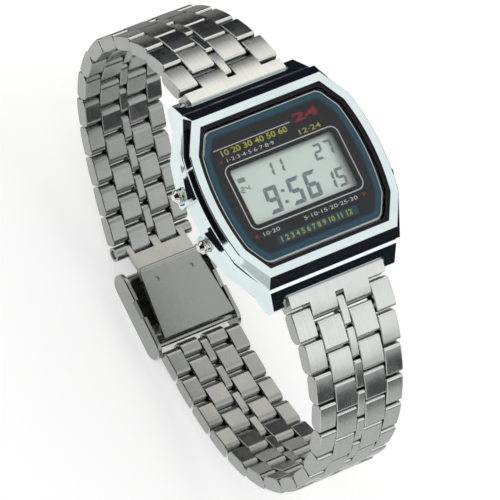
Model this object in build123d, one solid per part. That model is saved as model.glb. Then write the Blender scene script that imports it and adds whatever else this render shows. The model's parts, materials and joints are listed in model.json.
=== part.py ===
from build123d import *
import math
import os

# A slim steel digital watch on a tapering folded-link bracelet, standing on its closed clasp.
# All sizes are in millimetres. X runs to 3 o'clock, Y to 12 o'clock and Z out of the dial.
# Heights in the head are counted down from the bezel's top facet, and the finished model is
# moved at the end so that its origin is the middle of the underside of its bounding box.

# Shared fits
slide_fit = 0.06
seat_gap = 0.05
flat_gap = 0.1
overrun = 1.0

# Bezel
bezel_half_x = 16.45
bezel_half_y = 14.0
bezel_corner_x = 12.25
bezel_shoulder_x = 15.4
bezel_shoulder_y = 8.9
bezel_shoulder_round = 3.0
bezel_height = 2.1
bezel_bevel_drop = 1.3
bezel_bevel_reach = 1.4
bezel_side_reach = 0.35
bezel_edge_break = 0.12
shadow_gap_height = 0.2
shadow_gap_depth = 0.4
facet_width = 1.5
opening_round = 1.6
shelf_width = 0.95
shelf_depth = 0.85
groove_height = 1.1
groove_depth = 0.3
groove_top = 0.32
groove_bridge_y = 7.0
groove_bridge_width = 0.7
groove_high_y = 13.2
groove_low_y = -5.4

# Crystal, gasket and the parts seen through it
gasket_width = 0.62
gasket_top = 0.2
crystal_top = 0.08
crystal_edge_break = 0.25
dial_plate_thickness = 0.3
dial_plate_margin = 0.12
window_half_x = 9.95
window_height = 9.65
window_middle_y = -0.375
window_round = 0.6
lcd_length = 21.4
lcd_width = 11.4
lcd_thickness = 1.1
lcd_setback = 0.55

# Case body
case_half_y = 15.3
case_corner_x = 12.35
case_shoulder_x = 15.7
case_shoulder_y = 10.0
case_waist_x = 16.4
guard_tip_x = 17.7
guard_tip_y = 2.95
guard_step_x = 17.35
guard_step_y = 2.45
guard_crest_x = 16.8
guard_crest_step_x = 16.7
guard_slope_drop = 0.9
case_height = 5.3
case_bottom_break = 0.8
case_keel_inset = 0.5
cavity_half_x = 13.2
cavity_half_y = 11.8
cavity_round = 2.5
ledge_width = 0.55
ledge_drop = 0.32
hood_length = 1.65
hood_lip = 0.4
lug_inner_x = 9.6
lug_outer_x = 12.3
lug_taper = 0.6
lug_length = 3.0
lug_root = 0.9
lug_tip_top = 5.0
lug_tip_foot = 7.0
lug_heel = 0.7

# Case back, its gasket and its screws
back_half_x = 15.2
back_half_y = 14.95
back_corner_x = 11.9
back_shoulder_x = 14.7
back_shoulder_y = 9.9
back_thickness = 0.8
back_edge_break = 0.25
back_panel_half_x = 10.4
back_panel_half_y = 9.2
back_panel_round = 2.0
back_panel_depth = 0.15
back_gasket_width = 0.7
back_gasket_height = 0.5
back_gasket_wall = 0.5
screw_x = 11.1
screw_y = 14.05
screw_shank_radius = 0.45
screw_head_radius = 0.8
screw_head_height = 0.4
screw_length = 2.4
screw_slot_width = 0.22
screw_slot_depth = 0.2

# Buttons
button_y = 4.5
button_depth = 5.0
button_radius = 1.1
button_tip_x = 18.75
button_dome_height = 0.55
button_inner_x = 16.2
button_ring_width = 0.22
button_ring_depth = 0.12
button_ring_place = 0.5
button_travel = 0.6
spotface_radius = 1.75
spotface_x = 16.95
spring_seat_x = 14.7
spring_wire_radius = 0.11
spring_coil_radius = 0.82
spring_turns = 3.0
stem_radius = 0.45
stem_end_x = 12.5
clip_radius = 0.9
clip_thickness = 0.18
seal_pocket_depth = 0.75
seal_radius = 0.85
seal_thickness = 0.6

# Module inside the case
frame_half_x = 12.95
frame_half_y = 11.5
frame_foot = 6.4
frame_floor_top = 3.05
frame_floor_bottom = 4.15
connector_width = 1.3
connector_y = 4.6
connector_length = 19.6
board_thickness = 0.7
board_half_x = 11.0
board_half_y = 10.4
lamp_width = 1.1
lamp_length = 3.0
lamp_height = 0.9
notch_room = 0.4
notch_half_y = 1.5
battery_radius = 8.0
battery_thickness = 1.6
battery_rim = 0.5
battery_rim_height = 0.2
battery_x = -2.2
battery_y = -1.5
clip_strip_width = 5.0
clip_strip_thickness = 0.2
clip_strip_leg = 0.3
quartz_radius = 0.72
quartz_length = 5.2
quartz_x = 8.6
quartz_y = 4.6
buzzer_radius = 9.4
buzzer_thickness = 0.22
buzzer_spring_x = 8.6
buzzer_spring_y = -5.6
buzzer_coil_radius = 0.75
buzzer_wire_radius = 0.12
buzzer_spring_turns = 4.0

# Spring bars and end links
bar_radius = 0.75
bar_tip_radius = 0.45
bar_tip_reach = 1.1
bar_setback = 1.2
bar_depth = 5.4
end_link_half_x = 9.12
end_link_top_near = 3.4
end_link_crown = 0.2
end_link_foot = 7.1
end_link_edge_break = 0.25
end_tongue_radius = 1.2
end_tongue_slope_deg = 30.0
first_pin_reach = 2.2
first_pin_depth = 6.2

# Bracelet links: belts of folded sheet round pins, laid like bricks
link_pitch = 5.3
sheet_thickness = 0.42
pin_radius = 0.74
belt_crown = 0.1
belt_corner = 0.5
belt_gap = 0.08
belt_edge_break = 0.12
pin_inset = 0.3
belt_cap = 0.24
centre_belt_half_x = 0.72
mid_belt_share = 0.6
first_link_half_x = 9.4
last_link_half_x = 7.4
taper_share = 0.7
upper_headings_deg = [26.5, 39.6, 52.6, 65.5, 78.6, 92.8, 108.4, 124.4, 138.1, 147.4, 152.1, 153.9, 155.4]
lower_headings_deg = [
    19.4, 29.5, 40.1, 51.7, 64.1, 77.0, 90.2, 103.8, 117.9, 132.6, 146.5, 158.1, 166.4, 171.3, 174.2,
]

# Clasp
clasp_drop = 57.5
cover_low_y = -10.6
cover_high_y = 5.0
cover_height = 4.5
cover_wall = 0.7
cover_floor = 0.8
cover_edge_break = 0.15
channel_half_x = 7.65
strap_bar_y = -8.6
strap_bar_drop = 1.6
strap_bar_clearance = 0.3
cover_notch_low_y = -3.6
cover_notch_length = 3.2
cover_notch_depth = 0.9
clasp_pin_radius = 0.55
clasp_knuckle_radius = 0.95
cover_hinge_y = 3.2
cover_hinge_drop = 2.3
blade_hinge_y = -6.0
blade_hinge_drop = 1.6
blade_thickness = 0.8
blade_side_gap = 0.15
middle_knuckle_half_x = 3.0
inner_blade_lift = 0.35
inner_blade_low_y = -8.2
inner_blade_high_y = 4.2
inner_blade_low_half_x = 6.9
inner_blade_high_half_x = 5.6
inner_lip_radius = 0.5
dimple_radius = 0.45
dimple_depth = 0.25
dimple_x = 3.4
dimple_y = 1.4
hook_pin_y = 8.2
hook_pin_drop = 1.3

# Levels in the head, counted from the bezel's top facet
bezel_foot = -bezel_height
case_foot = bezel_foot - case_height
back_foot = case_foot - back_thickness
shelf_level = -shelf_depth
dial_top = shelf_level - seat_gap
dial_foot = dial_top - dial_plate_thickness
lcd_top = dial_foot - lcd_setback
lcd_foot = lcd_top - lcd_thickness
board_top = -frame_floor_bottom
board_foot = board_top - board_thickness
battery_top = board_foot - flat_gap
battery_foot = battery_top - battery_thickness
clip_strip_top = battery_foot - seat_gap
buzzer_foot = case_foot
buzzer_top = buzzer_foot + buzzer_thickness

# Places that follow the ends of the case
ledge_y = case_half_y + ledge_width
ledge_foot = bezel_foot - ledge_drop
hood_y = case_half_y + hood_length
lug_reach = case_half_y + lug_length
lug_root_y = case_half_y - lug_root
bar_y = lug_reach - bar_setback
first_pin_y = lug_reach + first_pin_reach

# Levels in the clasp
cover_outer = -clasp_drop
cover_rim = cover_outer + cover_height
inner_blade_foot = cover_rim + inner_blade_lift
inner_blade_top = inner_blade_foot + blade_thickness
strap_bar_z = cover_rim - strap_bar_drop
cover_hinge_z = cover_rim - cover_hinge_drop
blade_hinge_z = cover_rim - blade_hinge_drop
hook_pin_z = cover_rim - hook_pin_drop

# Outlines, as half length, half height, corner place, and shoulder place along X and Y
facet_sizes = (bezel_half_x, bezel_half_y, bezel_corner_x, bezel_shoulder_x, bezel_shoulder_y)
bezel_base_sizes = (
    bezel_half_x + bezel_side_reach,
    bezel_half_y + bezel_bevel_reach,
    bezel_corner_x + bezel_side_reach,
    bezel_shoulder_x + bezel_side_reach,
    bezel_shoulder_y + bezel_side_reach,
)
keel_sizes = (case_waist_x, case_half_y, case_corner_x, case_shoulder_x - case_keel_inset, case_shoulder_y)
back_sizes = (back_half_x, back_half_y, back_corner_x, back_shoulder_x, back_shoulder_y)

belt_radius = sheet_thickness + pin_radius + slide_fit
belt_bore = pin_radius + slide_fit
belt_length = link_pitch / 2


def solids_of(shapes):
    """One compound of every separate solid in the shapes."""
    found = []
    for shape in shapes:
        found.extend(shape.solids())
    return Compound(children=found)


def box_between(low, high):
    """A box given by two opposite corners."""
    size = [high[i] - low[i] for i in range(3)]
    middle = [(high[i] + low[i]) / 2 for i in range(3)]
    return Pos(*middle) * Box(*size)


def rod_x(radius, x_low, x_high, y, z):
    """A round bar along X."""
    middle = (x_low + x_high) / 2
    return Pos(middle, y, z) * Rot(Y=90) * Cylinder(radius, x_high - x_low)


def rod_z(radius, z_low, z_high, x, y):
    """A round bar along Z."""
    return Pos(x, y, (z_low + z_high) / 2) * Cylinder(radius, z_high - z_low)


def prism_x(points, x_low, x_high):
    """A polygon of (y, z) points drawn out along X."""
    outline = Polyline(*[(0, y, z) for y, z in points], close=True)
    return Pos(x_low, 0, 0) * extrude(make_face(outline), amount=x_high - x_low, dir=(1, 0, 0))


def mirrored_quadrant(points):
    """A closed ring of corner points from those of the first quadrant, from the Y axis to the X axis."""
    right_low = [(x, -y) for x, y in reversed(points)]
    left_low = [(-x, -y) for x, y in points]
    left_high = [(-x, y) for x, y in reversed(points)]
    ring = list(points)
    for run in (right_low, left_low, left_high):
        ring.extend(run)
    clean = [ring[0]]
    for point in ring[1:]:
        if math.dist(point, clean[-1]) > 0:
            clean.append(point)
    return clean


def flanked_outline(sizes, corner_round, shoulder_round):
    """An eight-sided outline whose long flanks are gentle arcs."""
    half_x, half_y, corner_x, shoulder_x, shoulder_y = sizes
    top = Line((-corner_x, half_y), (corner_x, half_y))
    right_high = Line((corner_x, half_y), (shoulder_x, shoulder_y))
    right = ThreePointArc((shoulder_x, shoulder_y), (half_x, 0), (shoulder_x, -shoulder_y))
    right_low = Line((shoulder_x, -shoulder_y), (corner_x, -half_y))
    bottom = Line((corner_x, -half_y), (-corner_x, -half_y))
    left_low = Line((-corner_x, -half_y), (-shoulder_x, -shoulder_y))
    left = ThreePointArc((-shoulder_x, -shoulder_y), (-half_x, 0), (-shoulder_x, shoulder_y))
    left_high = Line((-shoulder_x, shoulder_y), (-corner_x, half_y))
    face = make_face([top, right_high, right, right_low, bottom, left_low, left, left_high])
    split = (half_y + shoulder_y) / 2
    if shoulder_round > 0:
        face = fillet([v for v in face.vertices() if abs(v.Y) < split], shoulder_round)
    if corner_round > 0:
        ends = [v for v in face.vertices() if abs(v.Y) > max(split, half_y - seat_gap)]
        face = fillet(ends, corner_round)
    return face


def moved_in(sizes, amount):
    """The sizes of a flanked outline that lies an even amount inside another, or outside it if negative."""
    half_x, half_y, corner_x, shoulder_x, shoulder_y = sizes
    run = math.dist((corner_x, half_y), (shoulder_x, shoulder_y))
    normal_x = (half_y - shoulder_y) / run
    normal_y = (shoulder_x - corner_x) / run
    reach = normal_x * corner_x + normal_y * half_y - amount
    sag = half_x - shoulder_x
    radius = (shoulder_y**2 + sag**2) / (2 * sag)
    centre_x = half_x - radius
    foot = reach - normal_x * centre_x
    half_chord = math.sqrt((radius - amount) ** 2 - foot**2)
    return (
        half_x - amount,
        half_y - amount,
        (reach - normal_y * (half_y - amount)) / normal_x,
        centre_x + normal_x * foot + normal_y * half_chord,
        normal_y * foot - normal_x * half_chord,
    )


def slab(outline, z_low, z_high):
    """An outline drawn out between two heights."""
    return extrude(Pos(0, 0, z_low) * outline, amount=z_high - z_low)


def facet_outline(amount):
    """The outer edge of the bezel's top facet, moved in by an amount."""
    return flanked_outline(moved_in(facet_sizes, amount), 0, bezel_shoulder_round - amount)


def bezel_base_outline(amount):
    """The bezel's widest outline, at its ledge, moved in by an amount."""
    return flanked_outline(moved_in(bezel_base_sizes, amount), 0, bezel_shoulder_round - amount)


def opening_outline(amount):
    """The bezel's rounded opening, moved in by an amount."""
    sizes = moved_in(facet_sizes, facet_width + amount)
    return flanked_outline(sizes, opening_round, bezel_shoulder_round - facet_width)


def bezel_groove(y_low, y_high):
    """The cutter of one rounded groove run round both flanks between two places along Y."""
    low = -groove_top - groove_height
    run = SlotOverall(y_high - y_low, groove_height)
    placed = Plane.YZ * Pos((y_low + y_high) / 2, low + groove_height / 2) * run
    across = extrude(placed, amount=bezel_half_x + bezel_side_reach + overrun, both=True)
    ring = bezel_base_outline(-overrun) - facet_outline(groove_depth)
    band = slab(ring, low - overrun, -groove_top + overrun)
    return across & band


def make_bezel():
    """Polished ring with a bevelled top facet, a seat for the crystal and grooves along its flanks."""
    facet = Pos(0, 0, -bezel_edge_break) * facet_outline(0)
    base = Pos(0, 0, -bezel_bevel_drop) * bezel_base_outline(0)
    body = loft([base, facet], ruled=True)
    crown = loft([facet, facet_outline(bezel_edge_break)], ruled=True)
    skirt = slab(bezel_base_outline(0), bezel_foot + shadow_gap_height, -bezel_bevel_drop)
    neck = slab(bezel_base_outline(shadow_gap_depth), bezel_foot, bezel_foot + shadow_gap_height)
    ring = body + crown + skirt + neck
    ring -= slab(opening_outline(0), shelf_level, overrun)
    ring -= slab(opening_outline(shelf_width), bezel_foot - overrun, overrun)
    bridge = groove_bridge_width / 2
    middle = groove_bridge_y - bridge
    ring -= bezel_groove(groove_low_y, middle)
    ring -= bezel_groove(groove_bridge_y + bridge, groove_high_y)
    return ring


def make_gasket():
    """Dark ring pressed between the bezel's opening and the crystal."""
    ring = opening_outline(seat_gap) - opening_outline(gasket_width)
    return slab(ring, shelf_level, -gasket_top)


def make_crystal():
    """Mineral window with a broken upper edge."""
    edge = gasket_width + seat_gap
    plan = opening_outline(edge)
    low = slab(plan, shelf_level, -crystal_top - crystal_edge_break)
    top = Pos(0, 0, -crystal_top) * opening_outline(edge + crystal_edge_break)
    bevel = loft([Pos(0, 0, -crystal_top - crystal_edge_break) * plan, top], ruled=True)
    return low + bevel


def window_outline():
    """The display window in the dial plate."""
    return Pos(0, window_middle_y) * RectangleRounded(2 * window_half_x, window_height, window_round)


def make_dial_plate():
    """Printed panel round the display window, in the bezel's lower opening."""
    plan = opening_outline(shelf_width + dial_plate_margin) - window_outline()
    return slab(plan, dial_foot, dial_top)


def make_lcd():
    """Liquid crystal cell: two glass plates, the front one shorter so that its contacts lie bare."""
    plate = Pos(0, window_middle_y) * Rectangle(lcd_length, lcd_width)
    return slab(plate, lcd_foot, lcd_top)


def case_outline(tip_x, step_x):
    """The case from above: straight ends, sloping corners and a guard beside each button place."""
    quadrant = [
        (case_corner_x, case_half_y),
        (case_shoulder_x, case_shoulder_y),
        (tip_x, guard_tip_y),
        (step_x, guard_step_y),
        (case_waist_x, guard_step_y),
    ]
    return make_face(Polyline(*mirrored_quadrant(quadrant), close=True))


def cavity_outline():
    """The hollow that takes the module."""
    return RectangleRounded(2 * cavity_half_x, 2 * cavity_half_y, cavity_round)


def hood_level(y):
    """The height of the slope over the lugs, at a distance from the middle of the dial."""
    share = (y - ledge_y) / (lug_reach - ledge_y)
    return ledge_foot - share * (lug_tip_top + ledge_foot)


def hood(end):
    """The lip between two lugs, which covers the near part of the end link."""
    top = hood_level(hood_y)
    points = [
        (end * lug_root_y, bezel_foot),
        (end * case_half_y, bezel_foot),
        (end * ledge_y, ledge_foot),
        (end * hood_y, top),
        (end * hood_y, top - hood_lip),
        (end * lug_root_y, top - hood_lip),
    ]
    return prism_x(points, -lug_inner_x, lug_inner_x)


def lug(side, end):
    """One lug, with a ledge, a sloping upper face, a tapered heel and an outer side drawn in to the tip."""
    points = [
        (end * lug_root_y, bezel_foot),
        (end * case_half_y, bezel_foot),
        (end * ledge_y, ledge_foot),
        (end * lug_reach, -lug_tip_top),
        (end * lug_reach, -lug_tip_foot),
        (end * (lug_reach - lug_heel), case_foot),
        (end * lug_root_y, case_foot),
    ]
    edges = sorted((side * lug_inner_x, side * lug_outer_x))
    plan = [
        (side * lug_inner_x, end * lug_root_y),
        (side * lug_outer_x, end * lug_root_y),
        (side * lug_outer_x, end * case_half_y),
        (side * (lug_outer_x - lug_taper), end * lug_reach),
        (side * lug_inner_x, end * lug_reach),
    ]
    return prism_x(points, edges[0], edges[1]) & slab(make_face(Polyline(*plan, close=True)), case_foot, bezel_foot)


def button_places():
    """The side and the place along Y of each button."""
    return {
        "light_button": (-1, button_y),
        "mode_button": (-1, -button_y),
        "start_button": (1, -button_y),
    }


def screw_places():
    """The four screws of the case back."""
    return [(x * screw_x, y * screw_y) for x in (-1, 1) for y in (-1, 1)]


def reach_x(side, x_from, x_to):
    """The lower and upper end of a span along X on one side of the watch."""
    return sorted((side * x_from, side * x_to))


def make_case_body():
    """Case middle with its module hollow, lugs, button bores, gasket groove and screw holes."""
    plan = case_outline(guard_tip_x, guard_step_x)
    slope_foot = bezel_foot - guard_slope_drop
    body = slab(plan, case_foot + case_bottom_break, slope_foot)
    crest = Pos(0, 0, bezel_foot) * case_outline(guard_crest_x, guard_crest_step_x)
    body += loft([Pos(0, 0, slope_foot) * plan, crest], ruled=True)
    keel = Pos(0, 0, case_foot + case_bottom_break) * flanked_outline(keel_sizes, 0, 0)
    foot = Pos(0, 0, case_foot) * flanked_outline(moved_in(keel_sizes, case_bottom_break), 0, 0)
    body += loft([foot, keel], ruled=True)
    for end in (-1, 1):
        body += hood(end)
        for side in (-1, 1):
            body += lug(side, end)
    body -= slab(cavity_outline(), case_foot - overrun, overrun)
    groove_outer = offset(cavity_outline(), amount=back_gasket_wall + back_gasket_width)
    groove = groove_outer - offset(cavity_outline(), amount=back_gasket_wall)
    body -= slab(groove, case_foot, case_foot + back_gasket_height)
    for x, y in screw_places():
        body -= rod_z(screw_shank_radius, case_foot, back_foot + screw_length + flat_gap, x, y)
    for side, y in button_places().values():
        steps = [
            (spotface_radius, spotface_x, button_tip_x),
            (button_radius + slide_fit, spring_seat_x, button_tip_x),
            (stem_radius + slide_fit, cavity_half_x, spring_seat_x),
            (seal_radius, cavity_half_x, cavity_half_x + seal_pocket_depth),
        ]
        for radius, x_from, x_to in steps:
            body -= rod_x(radius, *reach_x(side, x_from, x_to), y, -button_depth)
    for end in (-1, 1):
        body -= rod_x(bar_radius + slide_fit, -lug_inner_x, lug_inner_x, end * bar_y, -bar_depth)
        for side in (-1, 1):
            tip = reach_x(side, lug_inner_x - overrun, lug_inner_x + bar_tip_reach + flat_gap)
            body -= rod_x(bar_tip_radius + slide_fit, *tip, end * bar_y, -bar_depth)
    return body


def make_back_gasket():
    """Sealing ring in the groove under the case."""
    groove_outer = offset(cavity_outline(), amount=back_gasket_wall + back_gasket_width)
    groove = groove_outer - offset(cavity_outline(), amount=back_gasket_wall)
    return slab(groove, case_foot, case_foot + back_gasket_height)


def make_case_back():
    """Steel back plate with a sunk middle panel and four countersunk screw holes."""
    plate = slab(flanked_outline(back_sizes, 0, 0), back_foot, case_foot)
    plate = chamfer(plate.faces().sort_by(Axis.Z)[0].outer_wire().edges(), back_edge_break)
    panel = RectangleRounded(2 * back_panel_half_x, 2 * back_panel_half_y, back_panel_round)
    plate -= slab(panel, back_foot, back_foot + back_panel_depth)
    for x, y in screw_places():
        plate -= rod_z(screw_shank_radius + slide_fit, back_foot, case_foot, x, y)
        plate -= rod_z(screw_head_radius + slide_fit, back_foot, back_foot + screw_head_height, x, y)
    return plate


def make_back_screws():
    """Four slotted screws, sunk level with the case back."""
    screws = []
    for x, y in screw_places():
        screw = rod_z(screw_head_radius, back_foot, back_foot + screw_head_height, x, y)
        screw += rod_z(screw_shank_radius, back_foot, back_foot + screw_length, x, y)
        half = screw_slot_width / 2
        low = (x - screw_head_radius, y - half, back_foot)
        high = (x + screw_head_radius, y + half, back_foot + screw_slot_depth)
        screws.append(screw - box_between(low, high))
    return solids_of(screws)


def make_button(side, y):
    """Push button: domed head with a turned ring, stem, and the clip that keeps it in the case."""
    shoulder = button_tip_x - button_dome_height
    head = rod_x(button_radius, button_inner_x, shoulder, 0, 0)
    dome = Pos(shoulder, 0, 0) * Rot(Y=90) * Cone(button_radius, button_radius / 2, button_dome_height)
    head += Pos(button_dome_height / 2, 0, 0) * dome
    ring_at = shoulder - button_ring_place
    ring = rod_x(button_radius + overrun, ring_at, ring_at + button_ring_width, 0, 0)
    ring -= rod_x(button_radius - button_ring_depth, ring_at, ring_at + button_ring_width, 0, 0)
    head -= ring
    head += rod_x(stem_radius, stem_end_x, button_inner_x, 0, 0)
    neck = stem_radius - button_ring_depth
    clip_outer = cavity_half_x - seat_gap
    clip_inner = clip_outer - clip_thickness
    groove = rod_x(stem_radius + overrun, clip_inner, clip_outer, 0, 0)
    head -= groove - rod_x(neck, clip_inner, clip_outer, 0, 0)
    clip = rod_x(clip_radius, clip_inner, clip_outer, 0, 0)
    clip -= rod_x(neck, clip_inner, clip_outer, 0, 0)
    turn = Rot(Z=0) if side > 0 else Rot(Z=180)
    place = Pos(0, y, -button_depth) * turn
    return solids_of([place * head, place * clip])


def coil(length, radius, wire_radius, turns):
    """A helical spring along Z from zero, with room for its wire at both ends."""
    rise = length - 2 * wire_radius
    path = Helix(pitch=rise / turns, height=rise, radius=radius)
    section = Plane(origin=path @ 0, z_dir=path % 0) * Circle(wire_radius)
    return Pos(0, 0, wire_radius) * sweep(section, path=path)


def make_button_spring(side, y):
    """Return spring between the case and the head of a button."""
    spring = coil(button_inner_x - spring_seat_x, spring_coil_radius, spring_wire_radius, spring_turns)
    return Pos(side * spring_seat_x, y, -button_depth) * Rot(Y=side * 90) * spring


def make_button_seals():
    """One small rubber ring round each stem."""
    rings = []
    for side, y in button_places().values():
        pocket_end = cavity_half_x + seal_pocket_depth
        span = reach_x(side, pocket_end - seal_thickness, pocket_end)
        ring = rod_x(seal_radius - seat_gap, *span, y, -button_depth)
        rings.append(ring - rod_x(stem_radius + slide_fit, *span, y, -button_depth))
    return solids_of(rings)


def make_module_frame():
    """Moulded frame that holds the display above and the circuit board below."""
    plan = RectangleRounded(2 * frame_half_x, 2 * frame_half_y, cavity_round)
    frame = slab(plan, -frame_foot, bezel_foot - seat_gap)
    pocket = Pos(0, window_middle_y) * Rectangle(lcd_length + 2 * flat_gap, lcd_width + 2 * flat_gap)
    frame -= slab(pocket, -frame_floor_top, overrun)
    inner = Rectangle(2 * (board_half_x + flat_gap), 2 * (board_half_y + flat_gap))
    frame -= slab(inner, -frame_foot - overrun, board_top)
    for end in (-1, 1):
        middle = window_middle_y + end * connector_y
        reach = connector_width / 2 + slide_fit
        length = connector_length / 2 + flat_gap
        frame -= box_between((-length, middle - reach, -frame_foot), (length, middle + reach, overrun))
    for side, y in button_places().values():
        x_low, x_high = reach_x(side, stem_end_x - button_travel - notch_room, frame_half_x + overrun)
        low = (x_low, y - notch_half_y, -frame_foot - overrun)
        frame -= box_between(low, (x_high, y + notch_half_y, -frame_floor_top))
    x_low = -lcd_length / 2 - flat_gap
    x_high = x_low + lamp_width + 2 * flat_gap
    half = lamp_length / 2 + flat_gap
    frame -= box_between((x_low, -half, board_top), (x_high, half, -frame_floor_top))
    return frame


def make_lamp():
    """Small lamp on the circuit board, under one end of the display."""
    x_low = -lcd_length / 2
    high = (x_low + lamp_width, lamp_length / 2, board_top + lamp_height)
    return box_between((x_low, -lamp_length / 2, board_top), high)


def make_connectors():
    """Two elastic strips that join the display to the circuit board."""
    strips = []
    for end in (-1, 1):
        middle = window_middle_y + end * connector_y
        low = (-connector_length / 2, middle - connector_width / 2, board_top)
        high = (connector_length / 2, middle + connector_width / 2, lcd_foot)
        strips.append(box_between(low, high))
    return solids_of(strips)


def make_circuit_board():
    """Circuit board under the display."""
    return slab(Rectangle(2 * board_half_x, 2 * board_half_y), board_foot, board_top)


def make_battery():
    """Coin cell with its stepped rim."""
    cell = rod_z(battery_radius, battery_foot, battery_top - battery_rim_height, battery_x, battery_y)
    cap = rod_z(battery_radius - battery_rim, battery_foot, battery_top, battery_x, battery_y)
    return cell + cap


def make_battery_clip():
    """Sprung strip across the cell, with a leg up to the circuit board at each end."""
    reach = battery_radius + flat_gap
    half = clip_strip_width / 2
    foot = clip_strip_top - clip_strip_thickness
    low = (battery_x - reach - clip_strip_leg, battery_y - half, foot)
    high = (battery_x + reach + clip_strip_leg, battery_y + half, clip_strip_top)
    clip = box_between(low, high)
    for side in (-1, 1):
        x_low, x_high = sorted((battery_x + side * reach, battery_x + side * (reach + clip_strip_leg)))
        clip += box_between((x_low, battery_y - half, foot), (x_high, battery_y + half, board_foot))
    return clip


def make_quartz():
    """Timing crystal in its round can, lying against the board."""
    can = Rot(X=90) * Cylinder(quartz_radius, quartz_length)
    return Pos(quartz_x, quartz_y, board_foot - quartz_radius) * can


def make_buzzer():
    """Thin sounder disc on the inside of the case back."""
    return rod_z(buzzer_radius, buzzer_foot, buzzer_top, 0, 0)


def make_buzzer_spring():
    """Contact spring between the board and the sounder."""
    spring = coil(board_foot - buzzer_top, buzzer_coil_radius, buzzer_wire_radius, buzzer_spring_turns)
    return Pos(buzzer_spring_x, buzzer_spring_y, buzzer_top) * spring


def make_spring_bar(end):
    """Spring bar between two lugs, with a thin tip in each."""
    bar = rod_x(bar_radius, -end_link_half_x, end_link_half_x, end * bar_y, -bar_depth)
    reach = lug_inner_x + bar_tip_reach
    return bar + rod_x(bar_tip_radius, -reach, reach, end * bar_y, -bar_depth)


def link_half_x(index):
    """Half the width of the row that starts at a pin, counted from the head."""
    return last_link_half_x + (first_link_half_x - last_link_half_x) * taper_share**index


def mid_half_x(index):
    """The outer edge of the two middle belts that meet a pin."""
    return mid_belt_share * link_half_x(index)


def make_end_link(end):
    """End piece between the lugs, whose face runs down to two tongues round the first bracelet pin."""
    root = case_half_y + flat_gap
    near = hood_y + flat_gap
    root_top = hood_level(hood_y) - hood_lip - flat_gap
    far = first_pin_y - belt_radius - 2 * belt_gap
    slope = math.radians(end_tongue_slope_deg)
    round_y = first_pin_y + end_tongue_radius * math.sin(slope)
    round_z = end_tongue_radius * math.cos(slope) - first_pin_depth
    crown_z = end_link_crown + (round_z - end_link_top_near) / 2
    under_z = -first_pin_depth - end_tongue_radius
    top = ThreePointArc(
        (0, end * near, -end_link_top_near),
        (0, end * (near + round_y) / 2, crown_z),
        (0, end * round_y, round_z),
    )
    tip = ThreePointArc(
        (0, end * round_y, round_z),
        (0, end * (first_pin_y + end_tongue_radius), -first_pin_depth),
        (0, end * first_pin_y, under_z),
    )
    rest = Polyline(
        (0, end * first_pin_y, under_z),
        (0, end * far, -end_link_foot),
        (0, end * root, -end_link_foot),
        (0, end * root, root_top),
        (0, end * near, root_top),
        (0, end * near, -end_link_top_near),
    )
    block = extrude(make_face([top, tip, rest]), amount=end_link_half_x, dir=(1, 0, 0), both=True)
    edges = block.edges().filter_by(Axis.X).sort_by(Axis.Z)[-1:]
    block = chamfer(edges, end_link_edge_break)
    block -= rod_x(bar_radius + slide_fit, -lug_inner_x, lug_inner_x, end * bar_y, -bar_depth)
    block -= rod_x(belt_bore, -end_link_half_x, end_link_half_x, end * first_pin_y, -first_pin_depth)
    y_low, y_high = sorted((end * far, end * (first_pin_y + end_tongue_radius + overrun)))
    z_low = under_z - overrun
    centre = centre_belt_half_x + belt_gap
    block -= box_between((-centre, y_low, z_low), (centre, y_high, overrun))
    for side in (-1, 1):
        x_low, x_high = reach_x(side, mid_half_x(0), end_link_half_x + overrun)
        block -= box_between((x_low, y_low, z_low), (x_high, y_high, overrun))
    pin_half = link_half_x(0) - pin_inset
    pin = rod_x(pin_radius, -pin_half, pin_half, end * first_pin_y, -first_pin_depth)
    return solids_of([block, pin])


def corner_arc(middle_y, middle_z, radius, turn_deg):
    """A quarter arc round a middle, in the plane of the bend, run clockwise from an angle over the Y axis."""
    points = []
    for share in (0, 1 / 2, 1):
        angle = math.radians(turn_deg - 90 * share)
        points.append((0, middle_y + radius * math.cos(angle), middle_z + radius * math.sin(angle)))
    return ThreePointArc(*points)


def belt_face(length, inset):
    """The outer shape of a belt in the plane of its bend, moved in by an amount.

    It is flat and fully rounded at its ends on the wrist's side, and crowned with tighter corners outside.
    """
    radius = belt_radius - inset
    corner = belt_corner - inset
    out = radius - corner
    crown = ThreePointArc((0, -out, radius), (0, length / 2, radius + belt_crown), (0, length + out, radius))
    far_corner = corner_arc(length + out, out, corner, 90)
    far_side = Line((0, length + radius, out), (0, length + radius, 0))
    far_round = corner_arc(length, 0, radius, 0)
    under = Line((0, length, -radius), (0, 0, -radius))
    near_round = corner_arc(0, 0, radius, -90)
    near_side = Line((0, -radius, 0), (0, -radius, out))
    near_corner = corner_arc(-out, out, corner, 180)
    return make_face([crown, far_corner, far_side, far_round, under, near_round, near_side, near_corner])


def belt(length, x_low, x_high, cap_low, cap_high):
    """One belt of folded sheet round two pins, from zero along Y, with broken side edges.

    cap_low and cap_high are how thick its side walls are, or zero for an open side.
    """
    full = belt_face(length, 0)
    small = belt_face(length, belt_edge_break)
    low = x_low + belt_edge_break
    high = x_high - belt_edge_break
    solid = extrude(Pos(low, 0, 0) * full, amount=high - low, dir=(1, 0, 0))
    solid += loft([Pos(x_low, 0, 0) * small, Pos(low, 0, 0) * full], ruled=True)
    solid += loft([Pos(high, 0, 0) * full, Pos(x_high, 0, 0) * small], ruled=True)
    bore = Plane.YZ * Pos(length / 2, 0) * SlotCenterToCenter(length, 2 * belt_bore)
    hollow = x_high - cap_high - x_low - cap_low
    return solid - extrude(Pos(x_low + cap_low, 0, 0) * bore, amount=hollow, dir=(1, 0, 0))


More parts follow.
